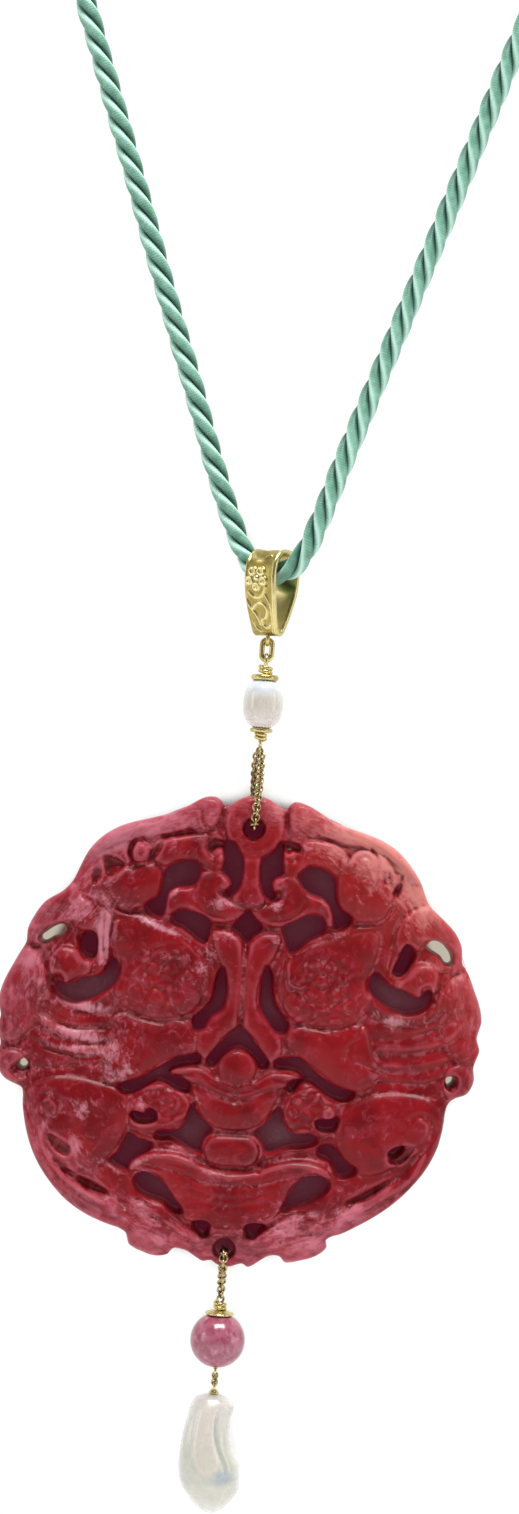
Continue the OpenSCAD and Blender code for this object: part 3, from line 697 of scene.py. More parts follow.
# %% Wire shapes
WRAP_TURNS = 1.9
WRAP_START = 2.6   # angle round the stem where the wrapped wire begins


def oval(top, low, radius, wire):
    """An upright oval in the picture's plane: half circles round two heights, joined straight."""
    angle = np.linspace(0, 2 * np.pi, 56, endpoint=False)
    height = np.where(np.sin(angle) >= 0, top, low) + radius * np.sin(angle)
    line = np.column_stack([radius * np.cos(angle), 0 * angle, height])
    return tube(line, wire / 2, 16, (0, 1, 0), closed=True)


def wrap(top, pitch, radius):
    """A screw of wire going down round the stem: its height falls by one pitch in each turn."""
    turn = np.linspace(0, 2 * np.pi * WRAP_TURNS, int(30 * WRAP_TURNS))
    angle = turn + WRAP_START
    line = np.column_stack([radius * np.cos(angle), radius * np.sin(angle), top - pitch * turn / (2 * np.pi)])
    return tube(line, WIRE / 2, WIRE_SIDES, (0.1, 0, 1))


def stem(low, high):
    """A straight upright wire."""
    line = np.column_stack([np.zeros((6, 2)), np.linspace(low, high, 6)])
    return tube(line, WIRE / 2, WIRE_SIDES, (1, 0, 0))


def wire_piece(name, body, node, *parts):
    """One piece of gold wire from its bent parts."""
    make_piece(name, *joined(*parts), body, "gold", wire_gold, stands_for=[node])


wire_piece("oval_wire_link", "link", "oval_link", oval(26.3, 24.8, 0.72, 0.76))
wire_piece("wrapped_pearl_pin", "pearl_drop", "pearl_pin", wire_ring(23.85, 0.95, WIRE),
           wrap(23.12, 0.56, 0.8), stem(12.6, 23.0), wrap(13.38, 0.54, 0.65), wire_ring(11.9, 0.65, 0.5))

# %% [markdown]
# ## Caps
# A cap is a small dish pressed from sheet with its rim rolled over. It follows the bead it covers, so
# its profile is the bead's own height plus a gap, and then the sheet's thickness.

# %% Caps
PEARL_AT = 17.7
PEARL_WIDTH = 5.9
PEARL_HEIGHT = 7.4
BEAD_AT = -75.1
BEAD_WIDTH = 8.0
DRILL = 0.9    # width of the drill holes
GAP = 0.1      # between a cap and what it covers
SHEET = 0.28   # thickness of the caps


def pearl_top(r):
    """Height of the pearl over its middle at a radius: a rounded shape a little fuller than an oval."""
    return PEARL_HEIGHT / 2 * (1 - (2 * r / PEARL_WIDTH) ** 2.5) ** 0.4


def bead_top(r):
    """Height of a round bead over its middle at a radius."""
    return np.sqrt(BEAD_WIDTH ** 2 / 4 - r ** 2)


def cap(over, rim, centre, roll, down=False, crown=0.0):
    """Ring-shaped profile: out along the underside, round the rolled rim in a half oval, and back over
    the top. The sheet's thickness grows to the roll with the fourth power of the share outwards."""
    share = np.linspace(0, 1, 20)
    r = DRILL / 2 + share * (rim / 2 - 0.19 - DRILL / 2)
    under = over(r) + GAP
    turn = np.linspace(-np.pi / 2, np.pi / 2, 9)[1:-1]
    edge = np.column_stack([r[-1] + 0.3 * np.cos(turn), under[-1] + roll + roll * np.sin(turn)])
    swell = SHEET + (2 * roll - SHEET) * share ** 4 + crown * np.sin(np.pi * share)
    profile = np.vstack([np.column_stack([r, under]), edge, np.column_stack([r, under + swell])[::-1]])
    points, faces = turned(profile, 56, closed=True)
    if down:
        points = points * [1, -1, -1]
    return points + [0, 0, centre], faces


make_piece("upper_cap", *cap(pearl_top, 3.8, PEARL_AT, 0.42), "pearl_drop", "gold", cast_gold,
           stands_for=["pearl_cap_upper"])
make_piece("lower_cap", *cap(pearl_top, 3.1, PEARL_AT, 0.32, down=True), "pearl_drop", "gold", cast_gold,
           stands_for=["pearl_cap_lower"])
make_piece("bead_cap_dish", *cap(bead_top, 3.95, BEAD_AT, 0.2, crown=0.12), "stone", "gold", cast_gold,
           stands_for=["bead_cap"])

# %% [markdown]
# ## Pearls
# A pearl is layer on layer of nacre. It is slightly uneven and never mirror-smooth, its shine comes
# from just under the surface, and its colour slides between cream, blue-white and pink. Part of that
# is painted reflection: on the round pearl blue-white above and darker beige across the middle, and on
# both a paler rim.

# %% Pearl finish


def nacre_finish(name, middle, reach, upper, belly, lower, roughness):
    """Nacre whose colour slides from upper through belly to lower, over a reach of height round a middle:
    partly the nacre's own tones, and on the round pearl painted reflection. Painted reflection also makes it
    paler towards the rim, and painted shade tints the baroque pearl's fold and furrows grey-blue.
    """
    finish = Finish(name, Coat_Weight=0.8, Coat_Roughness=0.1, Subsurface_Weight=0.2, Subsurface_Scale=0.0012,
                    Subsurface_Radius=(1.0, 0.9, 0.8), Specular_IOR_Level=0.6)
    small = finish.noise(0.9, detail=4)
    height = finish.add("ShaderNodeSeparateXYZ", Vector=finish.place()).outputs["Z"]
    height = finish.math("MULTIPLY_ADD", finish.noise(3.0, detail=2), 0.6 * reach * MM, height)
    centre = float(placed([[0, 0, middle]])[0, 2]) + 0.3 * reach * MM
    above = finish.map_range(height, centre, centre + reach * MM)
    below = finish.map_range(height, centre - reach * MM, centre - 0.2 * reach * MM, 1.0, 0.0)
    # Partly the nacre's own tones and partly painted reflection: blue-white above, darker beige across the
    # middle.
    nacre = finish.mix(below, finish.mix(above, belly, upper), lower)
    # Painted reflection: paler towards the rim.
    turned_away = finish.add("ShaderNodeLayerWeight", Blend=0.5).outputs["Facing"]
    nacre = finish.blend(turned_away, 0.15, 0.8, nacre, rgb(228, 228, 226), 0.55)
    nacre = finish.blend(finish.number("lobe"), 0.1, 0.9, nacre, rgb(206, 197, 186), 0.7)
    # Painted shade in the baroque pearl's fold and furrows, from the fold number.
    finish.colour(finish.blend(finish.number("fold"), 0.1, 0.9, nacre, rgb(158, 166, 172), 0.85))
    finish.feed("Roughness", finish.map_range(small, 0.3, 0.7, roughness, roughness + 0.12))
    finish.bump(finish.noise(1.4, detail=3), 0.03, 0.25)
    return finish.material


pearl_nacre = nacre_finish("round_nacre", PEARL_AT, 2.6, rgb(204, 210, 214), rgb(198, 190, 176),
                           rgb(218, 208, 202), 0.26)
baroque_nacre = nacre_finish("baroque_nacre", -91.5, 6.0, rgb(200, 195, 187), rgb(184, 184, 170),
                             rgb(202, 200, 186), 0.24)
print("pearl finishes:", pearl_nacre.name, baroque_nacre.name)

# %% [markdown]
# Pearls and beads are drilled through for their wire, so the surface runs down the outside and back up
# the hole. The upper pearl is a little out of round.

# %% The upper pearl


def drilled_ball(width, top, steps, sides, fullness=1.0):
    """Turned profile from the lower mouth of the drill hole up the outside to the upper mouth, and back
    down the hole. The places lie closer together towards the mouths."""
    slope = np.linspace(-np.pi / 2, np.pi / 2, steps)
    radius = width / 2 * np.cos(slope) ** fullness
    shown = radius > DRILL / 2
    radius = np.concatenate([[DRILL / 2], radius[shown], [DRILL / 2]])
    height = np.concatenate([[-1], np.sign(slope[shown]), [1]]) * top(radius)
    hole = np.column_stack([np.full(5, DRILL / 2), np.linspace(height[-1], height[0], 7)[1:-1]])
    return turned(np.vstack([np.column_stack([radius, height]), hole]), sides, closed=True)


pearl_points, pearl_faces = drilled_ball(PEARL_WIDTH, pearl_top, 72, 80, fullness=0.8)
swirl = np.arctan2(pearl_points[:, 1], pearl_points[:, 0])
off_axis = np.hypot(pearl_points[:, 0], pearl_points[:, 1]) > DRILL
uneven = 1 - 0.006 * (1 + np.sin(2 * swirl + 0.8) + 0.5 * np.sin(3 * swirl + pearl_points[:, 2])) * off_axis
pearl_points[:, :2] *= uneven[:, None]
make_piece("upper_pearl", pearl_points + [0, 0, PEARL_AT], pearl_faces, "pearl_drop", "pearl", pearl_nacre,
           stands_for=["pearl"])

# %% [markdown]
# ## Fine chains
# Round links, each turned a quarter from the one before, hang in the shape of the frame's tube. The
# links are spaced by their own inner width, since each one pulls against the next.

# %% Chains
LINK_OUT = 1.42      # outer width of a link
LINK_WIRE = 0.34
LINK_PARTS = 26      # places round a link
LINK_SIDES = 9       # places round its wire
SEAT_LOW = -62.25    # where the lower chain lies in the stone's bottom hole


def chain(route, link_out=LINK_OUT, link_wire=LINK_WIRE, first_turn=0.0, spin=0.0):
    """Rings along a smooth route. Each is a circle in the plane of the heading and one of its sides,
    and the side turns by a right angle from link to link, plus a slow spin."""
    line, along = even_line(smooth_line(route, 16), 0.02)
    heading, u, v = directions(line, (1, 0, 0))
    count = int(along[-1] / (link_out - 2 * link_wire)) + 2
    index = np.clip(np.searchsorted(along, np.linspace(0, along[-1], count)), 0, len(line) - 1)
    turn = first_turn + np.arange(count) * (np.pi / 2 + spin)
    side = np.cos(turn)[:, None] * u[index] + np.sin(turn)[:, None] * v[index]
    normal = np.cross(heading[index], side)
    long_angle = np.linspace(0, 2 * np.pi, LINK_PARTS, endpoint=False)[None, :, None, None]
    small_angle = np.linspace(0, 2 * np.pi, LINK_SIDES, endpoint=False)[None, None, :, None]
    outward = np.cos(long_angle) * heading[index][:, None, None] + np.sin(long_angle) * side[:, None, None]
    tube_part = np.cos(small_angle) * outward + np.sin(small_angle) * normal[:, None, None]
    middle = line[index][:, None, None] + (link_out - link_wire) / 2 * outward
    points = middle + link_wire / 2 * tube_part
    one = grid_faces(LINK_PARTS, LINK_SIDES, close_rows=True)[:, ::-1]
    faces = (one[None] + LINK_PARTS * LINK_SIDES * np.arange(count)[:, None, None]).reshape(-1, 4)
    # The inner side of each link's wire, which the finish darkens as painted shade.
    inner = np.broadcast_to(0.5 - 0.5 * np.cos(small_angle), points.shape[:-1] + (1,))
    return points.reshape(-1, 3), [faces], inner.ravel()


def chain_piece(name, links, body, node):
    """A chain whose finish knows the inner side of each link, where painted shade darkens it."""
    points, faces, inner = links
    make_piece(name, points, faces, body, "chain", chain_gold, values={"inner": inner}, stands_for=[node])


UPPER_ROUTE = [
    # x, y, height: down the back leg, through the stone's top hole, and up the front leg
    (-0.3, 0.75, 10.7), (-0.45, 1.1, 9.2), (-0.5, 2.2, 7), (-0.45, 3.3, 5), (-0.3, 3.5, 2.8),
    (-0.15, 3.45, 0.8), (-0.1, 3.2, 0.2), (0, 2.6, -0.05), (0, 1.2, -0.05), (0, -1.2, -0.05),
    (0, -2.6, -0.05), (0, -3.2, 0.2), (0.05, -3.45, 0.8), (0.15, -3.5, 2.8), (0.3, -3.3, 5),
    (0.35, -2.2, 7), (0.3, -1.1, 9.2), (0.2, -0.75, 10.7),
]
LOWER_ROUTE = [
    # y and height above its seat: from the bead's wrapped wire, round the front and back of the stone
    (0, -6.9), (0, -5.8), (-0.5, -4.7), (-1.8, -3.4), (-2.75, -2.1), (-2.75, -0.8), (-2.5, -0.2),
    (-1.9, 0.05), (-1, 0.05), (1.2, 0.05), (2.6, 0.05), (3.2, -0.2), (3.45, -0.8), (3.4, -2.1), (2.6, -3.3),
]
chain_gold = gold_finish("chain_gold", 0.24, 0.12, CHAMPAGNE, CHAMPAGNE_LIGHT)
lower_route = [(0, y, z + SEAT_LOW) for y, z in LOWER_ROUTE]
chain_piece("upper_link_chain", chain(UPPER_ROUTE, first_turn=-1.26, spin=0.06), "pearl_drop", "upper_chain")
chain_piece("lower_link_chain", chain(lower_route, first_turn=0.55, spin=-0.06), "stone", "lower_chain")
chain_piece("drop_link_chain", chain([(0, 0, -80.3), (0, 0, -80.75), (0, 0, -81.3)], 1.2, 0.3, 0.6), "stone",
            "drop_chain")

# %% [markdown]
# ## The pink bead
# A ball of cloudy pink stone, drilled and polished, on a wire that is looped below and wrapped above.

# %% Pink bead


def pink_finish():
    """Cloudy pink with pale spots, with painted shade where it turns away, under a thin polished coat."""
    finish = Finish("pink_stone", Roughness=0.2, Coat_Weight=0.5, Coat_Roughness=0.03, Subsurface_Weight=0.25,
                    Subsurface_Scale=0.002, Subsurface_Radius=(1.0, 0.35, 0.4))
    clouds = finish.noise(1.8, detail=5, distortion=0.6)
    base = finish.blend(clouds, 0.35, 0.65, rgb(142, 60, 82), rgb(168, 94, 114))
    base = finish.blend(finish.noise(1.1, detail=3), 0.5, 0.75, base, rgb(212, 150, 170), 0.6)
    # Painted shade: darker where the bead turns away.
    turned_away = finish.add("ShaderNodeLayerWeight", Blend=0.5).outputs["Facing"]
    finish.colour(finish.blend(turned_away, 0.25, 0.8, base, rgb(124, 50, 70), 0.45))
    finish.bump(finish.noise(0.8, detail=2), 0.01, 0.2)
    return finish.material


bead_points, bead_faces = drilled_ball(BEAD_WIDTH, bead_top, 84, 96)
make_piece("round_pink_bead", bead_points + [0, 0, BEAD_AT], bead_faces, "stone", "pink_stone",
           pink_finish(), stands_for=["pink_bead"])
wire_piece("wrapped_bead_pin", "stone", "bead_pin", wrap(-69.62, 0.54, 0.7), stem(-79.3, -69.6),
           wire_ring(-79.6, 0.45, 0.38))

# %% [markdown]
# ## The long pearl
# A freshwater pearl grows as it likes: this one has broad shoulders, a finger-shaped lobe down its
# front with a furrow beside it, and a fold over its smooth broad foot.

# %% Baroque pearl
BAROQUE_TOP = -83.0
BAROQUE_LENGTH = 17.2
BAROQUE_SECTIONS = [
    # share of the length, half width, half depth, shift to the right
    [0, 1.1, 0.9, 0], [0.03, 2.3, 1.8, -0.2], [0.08, 3.15, 2.4, 0], [0.19, 3.3, 2.8, -0.4],
    [0.31, 3.5, 3, -0.65], [0.44, 3.95, 3.3, -0.5], [0.58, 4.6, 3.7, 0.1], [0.7, 4.65, 3.8, 0.2],
    [0.8, 4.15, 3.5, 0.4], [0.89, 3.1, 2.8, 0.55], [0.96, 1.8, 1.6, 0.6], [1, 0.5, 0.4, 0.7],
]


def baroque_mesh():
    """A ring of each section: the half width times the cosine and the half depth times the sine, times
    one plus the lobe, its crest and the knob, less the furrow and the fold. Each is a bell or a soft
    step across the angle and the depth, and the lobe's tip is rounded."""
    rows = smooth_line(np.array(BAROQUE_SECTIONS) * [BAROQUE_LENGTH, 1, 1, 1], 10)
    share, wide, deep, shift = rows.T[:, :, None]
    share = share / BAROQUE_LENGTH
    angle = np.linspace(0, 2 * np.pi, 120, endpoint=False)[None, :]
    degrees = np.degrees(angle)

    def bell(at, width, top, low, edge=0.06):
        across = np.exp(-((degrees - at) / width) ** 2)
        along = 1 / (1 + np.exp(-(share - top) / edge)) / (1 + np.exp((share - low) / edge))
        return across * along

    def step(value, at, soft):
        return 1 / (1 + np.exp((at - value) / soft))

    right_side = 280 + 25 * share
    tip = 0.655 - ((degrees - 264) / 75) ** 2
    lobe = step(degrees, 238, 5) * step(-degrees, -right_side, 2.5)
    lobe = lobe * step(share, 0.07, 0.012) * step(-share, -tip, 0.012)
    furrow = bell(right_side + 5, 5, 0.14, 0.6, 0.03) * (1.3 - share) + 0.5 * bell(230, 12, 0.12, 0.5)
    knob = bell(335, 16, 0.04, 0.13, 0.02)
    crest = bell(266, 9, 0.12, 0.4, 0.03)
    fold_at = 0.7 + 0.025 * np.cos(2 * (angle - np.radians(262)))
    front = 0.5 + 0.5 * np.tanh(4 * np.cos(angle - np.radians(268)) + 1)
    fold = front * np.exp(-((share - fold_at) / 0.035) ** 2)
    ripple = 0.012 * np.sin(3 * angle + 9 * share) + 0.008 * np.sin(5 * angle - 14 * share + 1)
    fade = np.clip(share * 8, 0, 1) * np.clip((1 - share) * 8, 0, 1)
    carved = 0.09 * lobe + 0.035 * crest + 0.05 * knob - 0.11 * furrow - 0.035 * fold + ripple - 0.04
    size = 1 + carved * fade
    rings = np.stack([shift + wide * size * np.cos(angle), deep * size * np.sin(angle),
                      BAROQUE_TOP - share * BAROQUE_LENGTH + 0 * angle], -1)
    points, faces = skin(rings, [[0.1, 0, BAROQUE_TOP], [0, 0, BAROQUE_TOP - BAROQUE_LENGTH]])
    right = np.exp(-((degrees - 298) / 22) ** 2)
    # Painted shade, grey-blue in the finish: in the fold, along the furrows and in a patch on the right side.
    shade = fold * 0.3 + right * front * np.exp(-((share - 0.66) / 0.06) ** 2) + 0.5 * furrow
    fields = [np.append(field, [0, 0]) for field in (shade, lobe + 0 * fold)]
    return points, [f[:, ::-1] for f in faces], fields


pearl_shape, pearl_sides, (pearl_painted_shade, pearl_lobe) = baroque_mesh()
make_piece("long_baroque_pearl", pearl_shape, pearl_sides, "stone", "pearl", baroque_nacre,
           values={"fold": pearl_painted_shade, "lobe": pearl_lobe}, stands_for=["baroque_pearl"])
cup = turned([[0, -82.9], [0.7, -82.9], [0.74, -82.85], [0.68, -82.7], [0.5, -82.42], [0.42, -82.32],
              [0, -82.3]], 40)
wire_piece("pearl_cup_and_loop", "stone", "baroque_pin", wire_ring(-81.9, 0.55, 0.42), cup)

# %% [markdown]
# ## The clasp
# It is hidden behind the neck, so it is a plain turned barrel that takes both ends of the cord.

# %% Clasp
CLASP_HALF = 8.0
CLASP_AT = 237.3
barrel = [[r, z - CLASP_HALF] for r, z in ((0, 0), (1.7, 0), (2.1, 0.25), (2.3, 0.6), (2.3, 1.0),
                                           (2.15, 1.15), (2.15, 1.35), (2.3, 1.5))]
barrel += [[r, -z] for r, z in barrel[::-1]]
clasp_points, clasp_faces = turned(barrel, 64)
clasp_points = clasp_points[:, [2, 0, 1]] + [0, 0, CLASP_AT]
make_piece("barrel_clasp", clasp_points, clasp_faces, "necklace", "gold", cast_gold, stands_for=["clasp"])

# %% [markdown]
# ## The carved stone
# A flat disc of stone is sawn through with a wire for the openings, the forms are cut in with small
# wheels, and all is polished by hand, which rounds every edge. The plan comes from the frame: the
# edges of its flat back are smoothed, and everything in front of them is a height over that plan.

# %% Stone: edges of the plan
STONE_BACK = 2.6     # y of the flat back
GROUND = -1.9        # y of the plain ground between the raised forms
STONE_MIDDLE = -30   # height of the disc's middle
HALF_SIZE = (35.2, 33.9)
EDGE_PARTS = 4       # into which each edge of the frame's plan is cut


def plan_edges(node):
    """Edges that bound the flat back: those that only one of its triangles uses. Gives each edge's two
    corners, in x and height, with the numbers of the edges before and after it."""
    mesh = node.data
    mesh.calc_loop_triangles()
    co = np.empty(len(mesh.vertices) * 3)
    mesh.vertices.foreach_get("co", co)
    co = co.reshape(-1, 3) / MM + [0, 0, NAPE_DROP]
    tri = np.empty(len(mesh.loop_triangles) * 3, np.int32)
    mesh.loop_triangles.foreach_get("vertices", tri)
    tri = tri.reshape(-1, 3)
    tri = tri[(np.abs(co[tri][:, :, 1] - STONE_BACK) < 1e-3).all(1)]
    places, same = np.unique(np.round(co[:, [0, 2]], 3), axis=0, return_inverse=True)
    tri = same.reshape(-1)[tri]
    edges = np.vstack([tri[:, [0, 1]], tri[:, [1, 2]], tri[:, [2, 0]]])
    code = edges[:, 0] * len(places) + edges[:, 1]
    back_code = edges[:, 1] * len(places) + edges[:, 0]
    edges = edges[~np.isin(back_code, code)]
    edges = edges[np.argsort(edges[:, 0])]
    after = np.searchsorted(edges[:, 0], edges[:, 1])
    before = np.empty_like(after)
    before[after] = np.arange(len(after))
    return places[edges[:, 0]], places[edges[:, 1]], before, after


def smooth_edges(a, b, before, after):
    """Each straight edge becomes the cubic of the curves above. The points of an edge follow each other,
    and next_point says which point comes after each one."""
    step = b - a
    length = np.linalg.norm(step, axis=1, keepdims=True)
    unit = step / length
    leave = (unit[before] * length + unit * length[before]) / (length + length[before])
    arrive = leave[after]
    points = cubic(a, b, leave * length, arrive * length, EDGE_PARTS)
    number = np.arange(len(a) * EDGE_PARTS).reshape(-1, EDGE_PARTS)
    next_point = np.column_stack([number[:, 1:], number[after, 0]])
    return points, next_point.ravel()


rim, rim_next = smooth_edges(*plan_edges(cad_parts["jade_carving"]))
rim_before = np.empty_like(rim_next)
rim_before[rim_next] = np.arange(len(rim_next))
print(f"{len(rim)} places round the plan, from {rim.min(0)} to {rim.max(0)}")

# %% [markdown]
# Many rules for the stone ask how far a place is from the nearest edge, and whether that edge is the
# outline or an opening, so both are worked out once on a fine grid over the plan.

# %% Stone: distance to the edge
CELL = 0.16          # width of the grid's cells
grid_x = np.arange(-36.4, 36.41, CELL)
grid_z = np.arange(-65.4, 5.61, CELL)
plan_x, plan_z = np.meshgrid(grid_x, grid_z)


def outer_places():
    """True for the places on the outline and false for those on the openings. Each pass gives a place the
    lowest number that is found twice as far along its loop as in the pass before."""
    number, ahead = np.arange(len(rim)), rim_next
    for _ in range(int(np.log2(len(rim))) + 1):
        number = np.minimum(number, number[ahead])
        ahead = ahead[ahead]
    return number == number[rim[:, 0].argmin()]


def signed_distance(reach=3.2):
    """Distance from each grid place to the nearest edge of the plan, up to a reach, below nought outside,
    and whether that edge is the outline's. A place is inside where a ray to its right crosses the edges
    an odd number of times."""
    best = np.full(plan_x.shape, reach)
    by_outline = np.zeros(plan_x.shape)
    crossed = np.zeros(plan_x.shape, np.int32)
    for (x0, z0), (x1, z1), outer_edge in zip(rim, rim[rim_next], on_outline):
        i = slice(*np.searchsorted(grid_z, (min(z0, z1) - reach, max(z0, z1) + reach)))
        k = slice(*np.searchsorted(grid_x, (min(x0, x1) - reach, max(x0, x1) + reach)))
        x, z = plan_x[i, k], plan_z[i, k]
        foot_x, foot_z = foot_on(x, z, x0, z0, x1, z1)
        gap = np.hypot(x - foot_x, z - foot_z)
        by_outline[i, k] = np.where(gap < best[i, k], outer_edge, by_outline[i, k])
        best[i, k] = np.minimum(best[i, k], gap)
        rows = slice(*np.searchsorted(grid_z, (min(z0, z1), max(z0, z1))))
        height = grid_z[rows]
        if len(height):
            at = np.searchsorted(grid_x, x0 + (height - z0) * (x1 - x0) / (z1 - z0))
            crossed[rows.start + np.arange(len(height)), np.minimum(at, len(grid_x) - 1)] += 1
    inside = (crossed.sum(1, keepdims=True) - np.cumsum(crossed, axis=1)) % 2 == 1
    return np.where(inside, best, -best), by_outline


on_outline = outer_places()
edge_distance, near_outline = signed_distance()
print(f"the plan's area is {(edge_distance > 0).sum() * CELL**2:.0f} mm2")

# %% [markdown]
# The carving shows two birds whose necks curl to the middle over a stem, a ball and a bowl on a foot,
# with wings at the sides and a lotus and tails below. Its forms are listed as outlines that rise from
# their edges like pillows: how high, how soft the edge, and the places round it.

